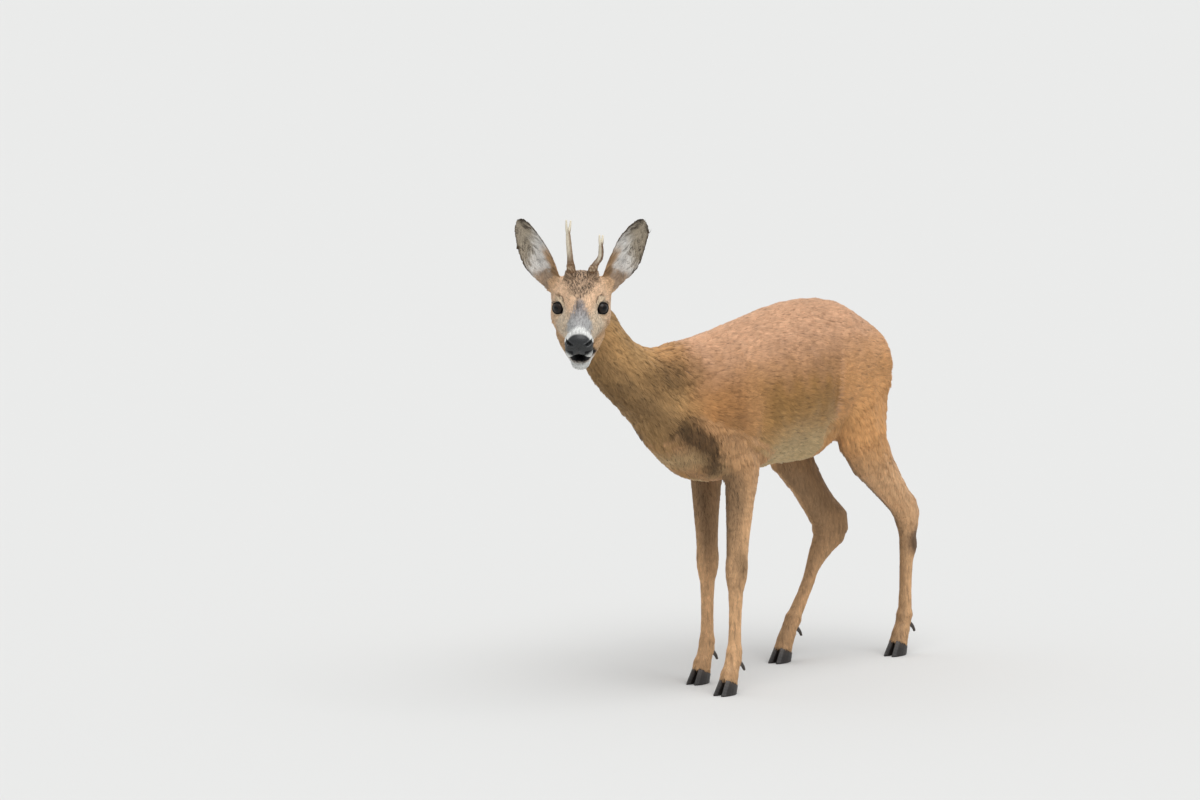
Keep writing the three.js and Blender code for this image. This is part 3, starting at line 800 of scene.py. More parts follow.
class Site:
    """What is known of each point of the skin."""

    def __init__(self, skin, kinds):
        self.points = skin.points
        self.even = np.column_stack([np.abs(self.points[:, 0]), self.points[:, 1:]])  # all on the left
        self.normals = skin.normals()
        self.kinds = kinds
        self.local = in_head(self.points)
        self.facing = self.normals @ HEAD_AXES
        self.eye_reach = np.min([eye.ring(self.local)[0] for eye in EYES.values()], axis=0)
        lids = np.minimum(*[eye.outside_lids(self.local) for eye in EYES.values()])
        lids = lids + np.maximum(self.eye_reach - EYE_RADIUS - 3, 0)
        self.lids = np.where(self.eye_reach < 32, lids, 40.0)
        self.in_ear = np.zeros(len(self.points))
        self.ear_place = np.zeros_like(self.points)
        for name, ear in EARS.items():
            mine = kinds.owner == f"{name}_ear"
            self.in_ear[mine] = ear.inside(self.local, self.facing)[mine]
            self.ear_place[mine] = ear.place(self.local)[mine]
        self.ear_rim = np.clip(2.5 * skin.eased(np.exp(-(self.in_ear**2) / 0.3), 6), 0, 1)
        self.ear = np.clip(kinds.share("ear"), 0, 1)
        self.head = np.clip(kinds.share("face", "muzzle", "nose"), 0, 1)
        self.leg = np.clip(kinds.share("thigh", "shank"), 0, 1)
        self.lower = kinds.owner == "lower_jaw"
        self.mouth = self.mouth_share()
        self.nose = self.nose_share()
        self.streak = self.all_streaks()
        self.dark_share = np.full(len(self.points), DARK_SHARE)

    def mouth_share(self):
        """The inside of the mouth: its roof, and its floor on the lower jaw."""
        x, y, z = self.local.T
        roof = soft(self.facing[:, 2], -0.55, -0.8) * soft(z, -22, -28) * soft(z, -60, -54)
        roof *= soft(y, -20, -34) * ~self.lower * soft(np.abs(x) - 7 * soft(y, -92, -84), 16, 13)
        floor = soft(self.facing[:, 2], 0.4, 0.65) * self.lower * soft(y, -101, -96) * soft(np.abs(x), 17, 13)
        return np.clip(roof + floor, 0, 1)

    def nose_share(self):
        """The bare nose: a rounded pad from the nasal bridge to the upper lip."""
        x, y, z = self.local.T
        side = np.abs(x) / 24
        top = 10.5 - 15 * side**2.2
        pad = soft(y, -101, -104.5) * soft(z, top + 1.2, top - 1.2) * soft(z, -20, -17.5)
        lip = soft(y, -98, -101) * soft(np.abs(x), 12, 9) * soft(z, -16, -19) * soft(z, -45, -40)
        return np.clip(pad + lip, 0, 1)

    def all_streaks(self):
        """Streaks along the hair of each part."""
        result = sum(self.kinds.share(kind) * streaks(self.points, way, 5.5, 60 + n)
                     for n, (kind, way) in enumerate(WAYS.items()))
        result += self.head * streaks(self.local, (0, 1, 0.1), 3.6, 71)
        return result + self.ear * streaks(self.ear_place, (0.3, 0, 1), 4.5, 72)


def trunk_marks(site, y, z, behind, fold):
    """Brown sides, a red back and rump, a grey flank and a pale belly. Here y and z wander. The top of the
    back is paler, partly its own colour and partly painted sheen of the light from above.
    """
    _, plain_y, plain_z = site.points.T
    up = site.normals[:, 2]
    ahead = 1 - behind
    flank = soft(y, -185, -95) * ahead * soft(z, 620, 500)
    flank *= 1 - 0.4 * soft(y, fold - 70, fold)
    return painted(
        SHOULDER,
        (FLANK, flank * 0.8),
        (RUFOUS, behind),
        # The top of the back paler: partly its own colour, partly painted sheen of the light from above.
        (BACK, soft(z, 530, 650) * soft(plain_y, -340, -240)),
        (NECK, soft(z, 520, 440) * soft(plain_y, -300, -240) * ahead * 0.5),
        (BELLY, soft(up, -0.1, -0.7) * soft(plain_z, 480, 425) * soft(plain_y, -250, -200) * ahead),
        (BELLY, soft(z, 510, 415) * soft(y, -150, -20) * ahead * 0.8),
        (BACK, np.exp(-((plain_y - fold) / 3) ** 2) * soft(plain_z, 630, 580) * 0.5),
        (RUFOUS, near(site.even, *BEHIND_SHOULDER, 0.8) * 0.6),
        (RUMP_PATCH, near(site.points, *RUMP_MIDDLE, 0.6) * 0.9),
    )


def neck_marks(site, colour, neck):
    """A red crest that turns grey towards the head, and painted shade under the neck and throat, which face
    down.
    """
    y = site.points[:, 1]
    up = site.normals[:, 2]
    crest = soft(up, 0.2, 0.8) * neck
    return painted(
        colour,
        (NECK, neck),
        (RUFOUS, crest * soft(y, -420, -320) * 0.8),
        (GREY_BROWN, neck * soft(up, -0.1, 0.5) * soft(y, -370, -440) * 0.6),
        # Painted shade: the underside of the neck darker, and darker still under the throat.
        (GREY_BROWN, neck * soft(up, 0.1, -0.4) * 0.5),
        (DARK_BROWN, neck * soft(up, -0.3, -0.8) * soft(y, -340, -420) * 0.35),
    )


def leg_marks(site, wander, fold):
    """Legs, which darken in front and at the hoof, with painted shade on the inside."""
    _, y, z = site.points.T
    fore, hind = y < 0, y > 0
    inner = site.normals[:, 0] * np.sign(site.points[:, 0])
    front = -site.normals[:, 1]
    front_dark = soft(front, 0.05, 0.75) * soft(z, 180, 360) * soft(z, 430, 400) * fore
    site.dark_share += 0.12 * front_dark * site.leg
    return painted(
        LEG_BROWN,
        (RUFOUS, soft(z, 330, 440) * hind),
        (SHOULDER, soft(z, 330, 430) * fore * 0.4),
        (FLANK, soft(y + wander, fold + 90, fold) * soft(z, 420, 480) * hind * 0.6),
        # Painted shade on the inner side of each leg, which faces the other legs.
        (LEG_DARK, soft(inner, 0.1, -0.6) * soft(z, 130, 300) * 0.6),
        (LEG_DARK, front_dark * 0.7),
        (LEG_DARK, soft(front, 0.3, 0.9) * hind * soft(z, 430, 340) * 0.45),
        (LEG_DARK, soft(z, 110, 25) * 0.35),
        (LEG_DARK, near(site.even, *KNEE, 0.6) * 0.6),
    )


def body_marks(site):
    even = site.even
    wander = 7 * ripple(site.points, 45, 5)
    y, z = site.points[:, 1] + wander, site.points[:, 2] + wander
    fold = 121 + 0.0016 * (site.points[:, 2] - 480) ** 2  # where the flank meets the thigh
    behind = soft(site.points[:, 1], fold - 6, fold + 6)
    neck = soft(y, -250, -350)
    colour = neck_marks(site, trunk_marks(site, y, z, behind, fold), neck)
    withers = near(even + wander[:, None], *DARK_WITHERS, 1.0)
    rough = even + 0.3 * wander[:, None] + 4 * site.streak[:, None]
    lines = zip(DARK_BAND, DARK_BAND[1:], DARK_BAND_REACH)
    band = soft(np.maximum(*[beside_line(rough, *line) for line in lines]), 0, 0.85)
    pale = near(even, *PALE_BRISKET, 0.6)
    site.dark_share += 0.03 * neck + 0.08 * withers + 0.16 * band + 0.06 * pale
    dark = np.clip(withers * 0.72 + band * 0.86, 0, 1) * (1 - 0.8 * pale)
    on_legs = np.clip(site.leg * 1.4 - 0.2, 0, 1) * (1 - 0.9 * band) * (1 - 0.7 * pale)
    glands = [(GLAND, near(site.points, *gland, 0.5) * 0.8) for gland in GLANDS]
    colour = painted(colour, (DARK_BROWN, dark), (BUFF, pale * 0.85))
    colour = painted(colour, (leg_marks(site, wander, fold), on_legs), *glands)
    return colour * (1 + 0.05 * ripple(site.points, 90, 3))[:, None]


def face_marks(site, speckle):
    """Cheeks, forehead and the grey bridge of the nose, with their darker hairs."""
    x, y, z = site.local.T
    side = np.abs(x)
    half = np.interp(y, *FOREHEAD_HALF)
    patch = soft(side + 2.5 * speckle, half + 5, half - 4) * soft(z, 24, 30) * soft(y, -31, -24)
    strokes = soft(streaks(site.local, (0, 1, 0), 2.6, 23) + 0.3 * speckle, 0, 0.45)
    reach = side + 0.6 * np.maximum(0, 14 - z)
    half = np.interp(y, *NASAL_HALF)
    grain = streaks(site.local, (0, 1, 0.1), 3.2, 24)
    grey = soft(reach + 3 * speckle + 2 * grain, half + 6, half - 9) * soft(y, -20, -34) * ~site.lower
    bluish = mixed(NASAL_DARK, NASAL, soft(y, -42, -80))
    line = np.exp(-((x + 4) / 1.6) ** 2) * soft(y, -58, -46) * soft(y, -24, -32) * soft(z, 15, 20)
    grizzle = np.clip(0.15 + 0.25 * speckle, 0, 0.7)
    colour = painted(
        FACE,
        (CHEEK, soft(y, -8, -30) * soft(z, 24, 8)),
        (GREY_BROWN, soft(y, -8, -34) * grizzle * soft(z, 30, 12)),
        (JAW_BROWN, soft(z, -14, -38)),
        (BUFF, soft(z, -44, -62) * soft(site.facing[:, 2], 0, -0.6) * 0.8),
        (JAW_BROWN, soft(y, 10, 50) * soft(side, 30, 46) * 0.6),
        (FOREHEAD, patch * 0.9),
        (DARK_BROWN * 0.6, patch * strokes * 0.92),
        (bluish, grey * 0.9),
        (DARK_BROWN, grey * soft(grain, 0.5, 1.2) * soft(y, -82, -60) * 0.5),
        (DARK_BROWN, soft(y, -10, -40) * soft(z, 26, 10) * soft(grain, 0.9, 1.6) * 0.4),
        (BLACK, line * 0.7),
    )
    return colour, 0.04 + 0.10 * patch + 0.08 * grey


def mouth_marks(site, colour):
    """The white band above the nose, black lips with a white patch at each side, and a white chin."""
    x, y, z = site.local.T
    side = np.abs(x)
    band = soft(y + 0.2 * side, -89, -100) * soft(z, -10, -3)
    chin = site.lower * soft(y, -68, -86) * soft(z, -50, -54)
    beside_nose = near(np.column_stack([side, y, z]), *WHITE_LIP, 0.3)
    colour = painted(
        colour,
        (WHITE, band),
        (BLACK, soft(y, -90, -97) * soft(z, -7, -12) * (~site.lower | (z > -38))),
        (WHITE, beside_nose * ~site.lower),
        (BLACK, site.lower * soft(y, -62, -70) * soft(z, -54, -50)),
        (WHITE, chin),
    )
    return colour, np.clip(band + chin, 0, 1)


def eye_marks(site, eye, colour):
    """A pale lid with painted shade in the crease above it, and the gland in front of the eye."""
    ring, angle = eye.ring(site.local)
    above = soft(angle, 15, 45) * soft(angle, 150, 115) * (ring < 34)
    crease = np.exp(-(((ring - CREASE_REACH) / 1.5) ** 2)) * soft(angle, 5, 25) * soft(angle, 140, 95)
    duct = eye.centre + eye.inner * 16 + eye.gaze * 6 - eye.up * 2.5
    return painted(
        colour,
        (LID_GREY, above * soft(ring, CREASE_REACH + 1, CREASE_REACH - 2) * 0.8),
        # Painted shade in the fold above the eye.
        (DARK_BROWN * 0.4, crease * 0.9),
        (BLACK, near(site.local, duct, (3, 3.5, 4), 0.5) * 0.9),
    )


def head_marks(site):
    speckle = ripple(site.local, 6, 21) + 0.7 * ripple(site.local, 3.2, 22)
    colour, dark_hairs = face_marks(site, speckle)
    colour, white = mouth_marks(site, colour)
    site.dark_share += site.head * dark_hairs * (1 - white)
    for eye in EYES.values():
        colour = eye_marks(site, eye, colour)
    return painted(
        colour,
        (LID_GREY, soft(site.lids, 9, 4) * (site.eye_reach < 26) * 0.5),
        (BLACK, soft(site.lids, 3.3, 1.9)),
        (NOSE_BLACK, site.nose),
        # The inside of the open mouth near black: painted shade within it.
        (BLACK * 0.7, site.mouth),
    )


def ear_marks(site):
    across, _, along = site.ear_place.T
    share = along / EAR_LENGTH
    curling = site.ear_place + 6 * ripple(site.ear_place, 26, 30)[:, None] * [1, 0, 0.5]
    strands = streaks(curling, (0.5, 0, 1), 3.6, 31) + 0.4 * ripple(site.ear_place, 3, 32)
    pale = soft(share + 0.008 * across + 0.04 * strands, 0.72, 0.42)
    outer = painted(
        EAR_BACK,
        (FACE, soft(share, 0.4, 0.15)),
        (EAR_RIM, soft(share, 0.8, 1) * 0.6),
    )
    inner = painted(
        EAR_GREY,
        (EAR_PALE, pale),
        (EAR_RIM, soft(strands, 0.3, 0.9) * (1 - 0.75 * pale) * 0.85),
        (JAW_BROWN, soft(across, -3, -13) * soft(share, 0.55, 0.35)),
        (EAR_BACK, soft(share + 0.02 * strands, 0.3, 0.18) * 0.85),
    )
    cup = soft(site.in_ear, 0.0, 0.3)
    rim = site.ear_rim * soft(share, 0.2, 0.35)
    rim *= 1 - 0.6 * soft(across, 2, -10) * soft(share, 0.62, 0.45)
    site.dark_share += site.ear * cup * (1 - pale) * 0.12
    return painted(outer, (inner, cup), (EAR_RIM, rim * 0.95))


def markings(site):
    """The colours of skin and coat, from where each point lies on the animal."""
    colour = painted(body_marks(site), (head_marks(site), site.head), (ear_marks(site), site.ear))
    # Lighter on the ridges of the streaks and darker in their troughs: painted light and shade of the clumps
    # in the coat.
    shade = 1 + 0.09 * np.clip(site.streak, -1.5, 1.5) - 0.22 * soft(site.streak, -0.7, -1.5)
    return colour * shade[:, None]


# ---------------------------- the lie of the coat

FLOW_ROUNDS = 40
BRUSH_AT = np.array([0.0, 62.0, 408.0])  # the buck's tuft under the belly


def lie_of_coat(skin, site):
    """The way that the hair points at each vertex, along the skin."""
    kinds = site.kinds
    flow = sum(kinds.share(kind)[:, None] * unit(np.array(way, float)) for kind, way in WAYS.items())
    chest = soft(site.points[:, 1], -190, -270) * soft(site.points[:, 2], 520, 470)
    flow = mixed(flow, np.array([0, 0.45, -1.0]), chest * (1 - site.head - site.ear))
    flow[:, 2] += 0.14 * ripple(site.points, 160, 8) * kinds.share("trunk", "neck")
    backward = np.tile([0.0, 1.0, 0.0], (len(flow), 1))
    backward[:, 2] = -0.35 * soft(np.abs(site.local[:, 0]), 15, 40)
    backward[:, 0] = 0.25 * np.sign(site.local[:, 0]) * soft(site.local[:, 1], -90, -20)
    flow = flow + site.head[:, None] * (backward @ HEAD_AXES.T)
    for name, ear in EARS.items():
        mine = kinds.owner == f"{name}_ear"
        curl = np.zeros_like(flow)
        curl[:, 2] = 1
        inner = soft(site.in_ear, 0.2, 0.6)
        curl[:, 0] = -0.8 * inner * np.sign(site.ear_place[:, 0] - EAR_MIDDLE)
        curl[:, 0] += 0.6 * inner * ripple(site.ear_place, 30, 9)
        ways = ear.back_way(curl) @ HEAD_AXES.T
        flow = flow + (site.ear * mine)[:, None] * ways
    for _ in range(FLOW_ROUNDS):
        flow = flattened(flow, site.normals)
        flow = 0.5 * (flow + skin.average(flow))
    for eye in EYES.values():
        away = site.local - eye.centre
        away = unit(away - eye.gaze * (away @ eye.gaze)[:, None]) @ HEAD_AXES.T
        close = eye.ring(site.local)[0] < 34
        flow = flow + (close * soft(site.lids, 14, 3))[:, None] * away * 1.6
    return unit(flattened(flow, site.normals))


# ---------------------------- the unwrap of the skin's own shape

PATCH = 0.003  # a tuft's patch on the map
MARGIN = 0.004


def skin_map(skin, site):
    """A place on the OFBake map for every corner: flat views of each part from its six sides, packed."""
    mesh = skin.mesh
    corners, first = faces_of(mesh)
    sizes = read(mesh.polygons, "loop_total", 1, np.int64)
    facing = read(mesh.polygons, "normal", 3)
    joined = {"left_eye": "head", "right_eye": "head", "neck": "trunk"}
    owner = np.array([FLESH.index(joined.get(name, name)) for name in site.kinds.owner])
    cupped = site.in_ear > 0
    part = (owner + len(FLESH) * cupped)[corners[first]]
    axis = np.abs(facing).argmax(axis=1)
    way = 2 * axis + (facing[np.arange(len(axis)), axis] > 0)
    island = np.repeat(part * 6 + way, sizes)
    flat_axes = np.array([[1, 2], [0, 2], [0, 1]])[np.repeat(axis, sizes)]
    places = np.take_along_axis(skin.points[corners], flat_axes, axis=1)
    boxes = []
    for number in np.unique(island):
        mine = island == number
        low, high = places[mine].min(0), places[mine].max(0)
        boxes.append((number, mine, low, high - low))
    boxes.sort(key=lambda box: -box[3][1])
    scale = 1.0
    while (spots := shelves([box[3] * scale + 2 * MARGIN for box in boxes])) is None:
        scale *= 0.97
    result = np.empty_like(places)
    for (_, mine, low, _), spot in zip(boxes, spots):
        result[mine] = (places[mine] - low) * scale + MARGIN + spot
    return result


def shelves(sizes):
    """Places boxes in rows in a unit square, the tallest first, or gives None if they don't fit."""
    x = y = row = 0.0
    spots = []
    for wide, high in sizes:
        if x + wide > 1:
            x = 0.0
            y += row
            row = 0.0
        if wide > 1 or y + high > 1:
            return None
        spots.append(np.array([x, y]))
        x += wide
        row = max(row, high)
    return spots


# ---------------------------- the coat

PIECE_LIMIT = 62000  # tufts in one piece
BARE_LIDS = 2.2  # the width of the lids' bare edge
BARE_HOOVES = 16.0  # the height that stays bare above the ground
SEVERAL = 12  # tufts in a clump, on average

# A tuft has two corners at its root, one on its ridge and one at its tip.
FACES = np.array([0, 1, 2, 0, 2, 3, 1, 3, 2])
SPREAD = np.array([[-0.5, -0.5], [0.5, -0.5], [0, 0], [0, 0.5]])  # in a tuft's patch of the map
# A share of the colour at each corner: dark at the root, as painted shade where the tufts overlap, and
# lighter on the ridge and tip.
ROOT_SHADE_ALONG_TUFT = np.array([0.7, 0.7, 1.02, 1.14])
DARK_HAIR = 0.5


def tuft_corners(root, normal, ahead, width, length, rise):
    """The four corners of each tuft, which bends over towards its tip."""
    beside = np.cross(normal, ahead) * (width / 2)[:, None]
    start = root - normal * 0.4
    ridge = root + ahead * (0.45 * length)[:, None] + normal * (0.62 * rise + 0.12 * width)[:, None]
    tip = root + ahead * length[:, None] + normal * rise[:, None]
    return np.stack([start + beside, start - beside, ridge, tip], axis=1)


def build_tufts(name, corners, shades, material, places):
    """One mesh of many tufts, with a patch of the map for each."""
    indices = (np.arange(len(corners))[:, None] * len(ROOT_SHADE_ALONG_TUFT) + FACES).ravel()
    mesh = mesh_of(name, corners.reshape(-1, 3), indices, np.arange(0, len(indices), 3))
    paint(mesh, shades.reshape(-1, 3))
    spots = places[:, None, :] + SPREAD * PATCH
    unwrap(mesh, np.clip(spots, 0, 1).reshape(-1, 2)[indices])
    shown(name, mesh, "coat", material)


class Tufts:
    """Tufts spread over the skin, with what each takes from the place of its root."""

    def __init__(self, skin, site, flow, colours, places):
        mesh = skin.mesh
        mesh.calc_loop_triangles()
        self.faces = read(mesh.loop_triangles, "vertices", 3, np.int64)
        loops = read(mesh.loop_triangles, "loops", 3, np.int64)
        self.rng = np.random.default_rng(SEED)
        kinds = site.kinds
        bare = np.clip(site.nose + site.mouth + kinds.share("nose"), 0, 1)
        bare = np.maximum(bare, soft(site.lids, BARE_LIDS + 1, BARE_LIDS))
        density = (1 - bare) / kinds.of(ROOM) ** 2
        density[site.points[:, 2] < BARE_HOOVES] = 0
        self.scatter(skin.points, density)
        self.root = self.at(skin.points)
        self.normal = unit(self.at(site.normals))
        self.flow = unit(self.at(flow))
        self.colour = self.at(colours)
        self.streak = self.at(site.streak)
        self.dark_share = self.at(site.dark_share)
        self.place = np.einsum("nk,nkj->nj", self.share, places[loops[self.chosen]])
        self.owner = kinds.owner[self.faces[self.chosen, 0]]
        self.measure(site)
        self.shape()

    def measure(self, site):
        """The size of each tuft: short at the eyes and ears' rims, and long in the ears and on the brush."""
        rng, of = self.rng, site.kinds.of
        inner = self.at(soft(site.in_ear, 0.25, 0.6))
        tip = soft(site.ear_place[:, 2], 0.84 * EAR_LENGTH, 0.93 * EAR_LENGTH)
        rim = self.at(np.maximum(np.exp(-(site.in_ear**2) / 0.16), tip) * site.ear)
        off_eye = self.at(soft(site.lids, 3, 12))
        brush = near(self.root, BRUSH_AT, (14, 26, 14), 0.5)
        fringe = soft(self.normal[:, 2], -0.2, -0.7) * soft(self.root[:, 2], 380, 400)
        size = rng.uniform(0.75, 1.2, len(self.root)) * (0.45 + 0.55 * off_eye)
        self.length = self.at(of(LENGTH)) * size * (1 + 0.7 * inner) * (1 - 0.7 * rim)
        self.length *= 1 + 0.9 * brush
        self.width = self.at(of(WIDTH)) * rng.uniform(0.8, 1.2, len(self.root))
        self.width *= (1 - 0.2 * inner) * (0.6 + 0.4 * off_eye) * (1 - 0.5 * rim)
        self.depth = self.at(of(DEPTH)) * (1 + 1.5 * inner)
        self.clump = self.at(of(CLUMP))
        self.lift = self.at(of(LIFT)) * (1 + 0.9 * fringe + 2.5 * brush)
        self.swing = self.at(1 - 0.7 * site.ear * (1 - soft(site.in_ear, 0.2, 0.5)))

    def scatter(self, points, density):
        """Spreads roots evenly over the triangles, as thickly as the density says."""
        a, b, c = (points[self.faces[:, i]] for i in range(3))
        area = np.linalg.norm(np.cross(b - a, c - a), axis=1) / 2
        edge = np.cumsum(area * density[self.faces].mean(axis=1))
        count = int(edge[-1])
        steps = (np.arange(count) + self.rng.random(count)) * (edge[-1] / count)
        self.chosen = np.minimum(np.searchsorted(edge, steps), len(edge) - 1)
        u, v = self.rng.random((2, count))
        flip = u + v > 1
        u[flip], v[flip] = 1 - u[flip], 1 - v[flip]
        self.share = np.stack([1 - u - v, u, v], axis=1)

    def at(self, values):
        """Values of the skin's vertices at the roots."""
        return np.einsum("nk,nk...->n...", self.share, values[self.faces[self.chosen]])

    def shape(self):
        """Works out the corners of each tuft, and gathers the tips of each clump."""
        rng, count = self.rng, len(self.root)
        swing = 0.13 * ripple(self.root, 34, 41) + 0.09 * ripple(self.root, 11, 42)
        swing = (swing + rng.normal(0, 0.09, count)) * self.swing
        ahead = unit(self.flow + np.cross(self.normal, self.flow) * swing[:, None])
        wave = 0.45 * ripple(self.root, 14, 43) + 0.35 * self.streak + rng.normal(0, 0.25, count)
        rise = self.depth * self.lift * np.clip(0.6 + 0.3 * wave, 0.12, 1.25)
        corners = tuft_corners(self.root, self.normal, ahead, self.width, self.length, rise)
        leader, self.clump_of = self.leaders()
        for corner, share in ((3, 1), (2, 0.35)):
            corners[:, corner] = mixed(corners[:, corner], corners[leader, corner], share * self.clump)
        self.corners = corners

    def leaders(self):
        """For each tuft, a tuft nearby that the clump's tips gather to, and the clump's own number."""
        picked = self.rng.permutation(len(self.root))[: len(self.root) // SEVERAL]
        tree = KDTree(len(picked))
        for number, tuft in enumerate(picked):
            tree.insert(Vector(self.root[tuft]), number)
        tree.balance()
        clump = np.array([tree.find(Vector(root))[1] for root in self.root])
        return picked[clump], clump

    def shades(self):
        """Each corner's colour: dark at the root as painted shade among the tufts, light at the tip, and a
        little different in each tuft.
        """
        rng, count = self.rng, len(self.root)
        own = rng.normal(1, 0.06, count)
        own *= 1 + 0.06 * rng.normal(size=self.clump_of.max() + 1)[self.clump_of]
        own = np.where(rng.random(count) < self.dark_share, own * DARK_HAIR, own)
        return self.colour[:, None, :] * own[:, None, None] * ROOT_SHADE_ALONG_TUFT[None, :, None]

    def groups(self):
        """The tufts of each piece of the coat, by name."""
        names = np.array(self.owner, dtype="U24")
        side = np.where(self.root[:, 0] > 0, "trunk_left_", "trunk_right_")
        half = np.where(self.root[:, 1] > 60, "rear", "front")
        names = np.where(names == "trunk", np.char.add(side, half), names)
        names[np.isin(names, FACE_NODES + ("nose",))] = "head"
        names[np.char.endswith(names, "_ear")] = "ears"
        for name in np.unique(names):
            members = np.flatnonzero(names == name)
            parts = -(-len(members) // PIECE_LIMIT)
            for part, chosen in enumerate(np.array_split(members, parts)):
                suffix = f"_{part + 1}" if parts > 1 else ""
                yield f"coat_{name}{suffix}", chosen

    def build(self, material):
        shades = self.shades()
        for name, chosen in self.groups():
            build_tufts(name, self.corners[chosen], shades[chosen], material, self.place[chosen])


LASHES = 30
LASH_WIDTH = 0.8


def build_lashes(name, material):
    """A row of stiff lashes along the upper lid, longest at its two ends."""
    eye = EYES[name]
    along = np.linspace(0.55, -1.0, LASHES) * LIDS_HALF_LENGTH
    rise = LIDS_UP * (1 - (along / LIDS_HALF_LENGTH) ** 2) + 0.06
    level = np.cos(along)[:, None] * eye.gaze + np.sin(along)[:, None] * eye.inner
    ways = level * np.cos(rise)[:, None] + eye.up * np.sin(rise)[:, None]
    root = from_head(eye.centre + ways * (EYE_RADIUS + LID_THICK + 0.4))
    fan = np.sign(-along - 0.2) * np.abs(along)
    ahead = unit(ways - 0.75 * eye.inner * fan[:, None] + 0.1 * eye.up)
    normal = unit(flattened(eye.up, ahead))
    width = np.full(LASHES, LASH_WIDTH)
    length = 2.5 + 2.5 * np.abs(along)
    corners = tuft_corners(root, normal @ HEAD_AXES.T, ahead @ HEAD_AXES.T, width, length, width)
    shades = np.tile(BLACK, (LASHES, 4, 1))
    build_tufts(f"lashes_{name}", corners, shades, material, np.full((LASHES, 2), 1 - PATCH))


# ---------------------------- eyes, antlers and hooves

EYE_ROWS, EYE_COLUMNS = 48, 72
EYE_BULGE = 0.8  # the height of the clear bulge over the iris
IRIS_EDGE = 0.62  # radians from the gaze
PUPIL_HALF = (0.36, 0.24)  # half its width and half its height, as shares of the eye's radius
IRIS_BROWN = srgb(38, 28, 22)
EYE_EDGE = srgb(16, 12, 12)
PUPIL_BLACK = srgb(6, 7, 9)


def globe_faces():
    """Quads between the rings of a globe, and triangles to its front and back, which are its last points."""
    column = np.arange(EYE_COLUMNS)
    beside = (column + 1) % EYE_COLUMNS
    ring = EYE_COLUMNS * np.arange(EYE_ROWS - 2)[:, None]
    a, b = ring + column, ring + beside
    quads = np.stack([a, a + EYE_COLUMNS, b + EYE_COLUMNS, b], axis=-1).reshape(-1, 4)
    last = EYE_COLUMNS * (EYE_ROWS - 2)
    front = np.full(EYE_COLUMNS, last + EYE_COLUMNS)
    ends = np.stack([front, column, beside, front + 1, last + beside, last + column], axis=1)
    return quads, ends.reshape(-1, 3)


def build_eye(name, material):
    """An eyeball with its clear bulge, dark iris and level pupil."""
    eye = EYES[name]
    tilt = np.linspace(0, math.pi, EYE_ROWS + 1)[1:-1]
    spin = np.linspace(0, 2 * math.pi, EYE_COLUMNS, endpoint=False)
    lean, spun = np.meshgrid(tilt, spin, indexing="ij")
    ways = (np.cos(lean)[..., None] * eye.gaze + (np.sin(lean) * np.cos(spun))[..., None] * eye.inner
            + (np.sin(lean) * np.sin(spun))[..., None] * eye.up).reshape(-1, 3)
    ways = np.concatenate([ways, [eye.gaze, -eye.gaze]])
    angle = np.arccos(np.clip(ways @ eye.gaze, -1, 1))
    radius = EYE_RADIUS - 0.1 + EYE_BULGE * np.exp(-((angle / IRIS_EDGE) ** 2))
    points = from_head(eye.centre + ways * radius[:, None])
    quads, ends = globe_faces()
    if np.linalg.det(np.stack([eye.gaze, eye.inner, eye.up])) < 0:
        quads, ends = quads[:, ::-1], ends[:, ::-1]
    starts = np.concatenate([np.arange(0, quads.size, 4), quads.size + np.arange(0, ends.size, 3)])
    mesh = mesh_of(f"eye_{name}", points, np.concatenate([quads.ravel(), ends.ravel()]), starts)
    level, height = ways @ eye.inner, ways @ eye.up
    pupil = soft(np.hypot(level / PUPIL_HALF[0], height / PUPIL_HALF[1]), 1.12, 0.95)
    streaks = 0.8 + 0.2 * np.cos(40 * np.arctan2(height, level) + 3 * ripple(ways, 0.5, 51))
    iris = IRIS_BROWN * streaks[:, None]
    paint(mesh, painted(iris, (EYE_EDGE, soft(angle, IRIS_EDGE, 0.86)), (PUPIL_BLACK, pupil)))
    shown(f"eye_{name}", mesh, "eye", material, stands_for=(f"{name}_eye",))


def smooth_solid(names, voxel, rounds, grow=0.0):
    """Nodes as one finer smooth surface, grown a little."""
    solids, _ = solids_of(names)
    surface = Surface(remeshed(solids, voxel))
    settle(surface, -grow, np.full(len(surface.points), rounds))
    return surface, surface.normals()


def show_worked(name, surface, colours, slot, material, nodes):
    """Shows a worked surface in place of its nodes."""
    mesh = mesh_of(name, surface.points, *faces_of(surface.mesh))
    paint(mesh, colours)
    shown(name, mesh, slot, material, stands_for=nodes)


# The left antler's brown is darker than the right's: painted shade, as that beam lies on the side away from
# the light.
ANTLER_BROWN_AND_SHADE = {"left": srgb(104, 74, 50), "right": srgb(152, 130, 106)}
ANTLER_FOOT = srgb(116, 88, 62)
ANTLER_PEARL = srgb(206, 184, 154)
ANTLER_WORN = srgb(228, 218, 196)


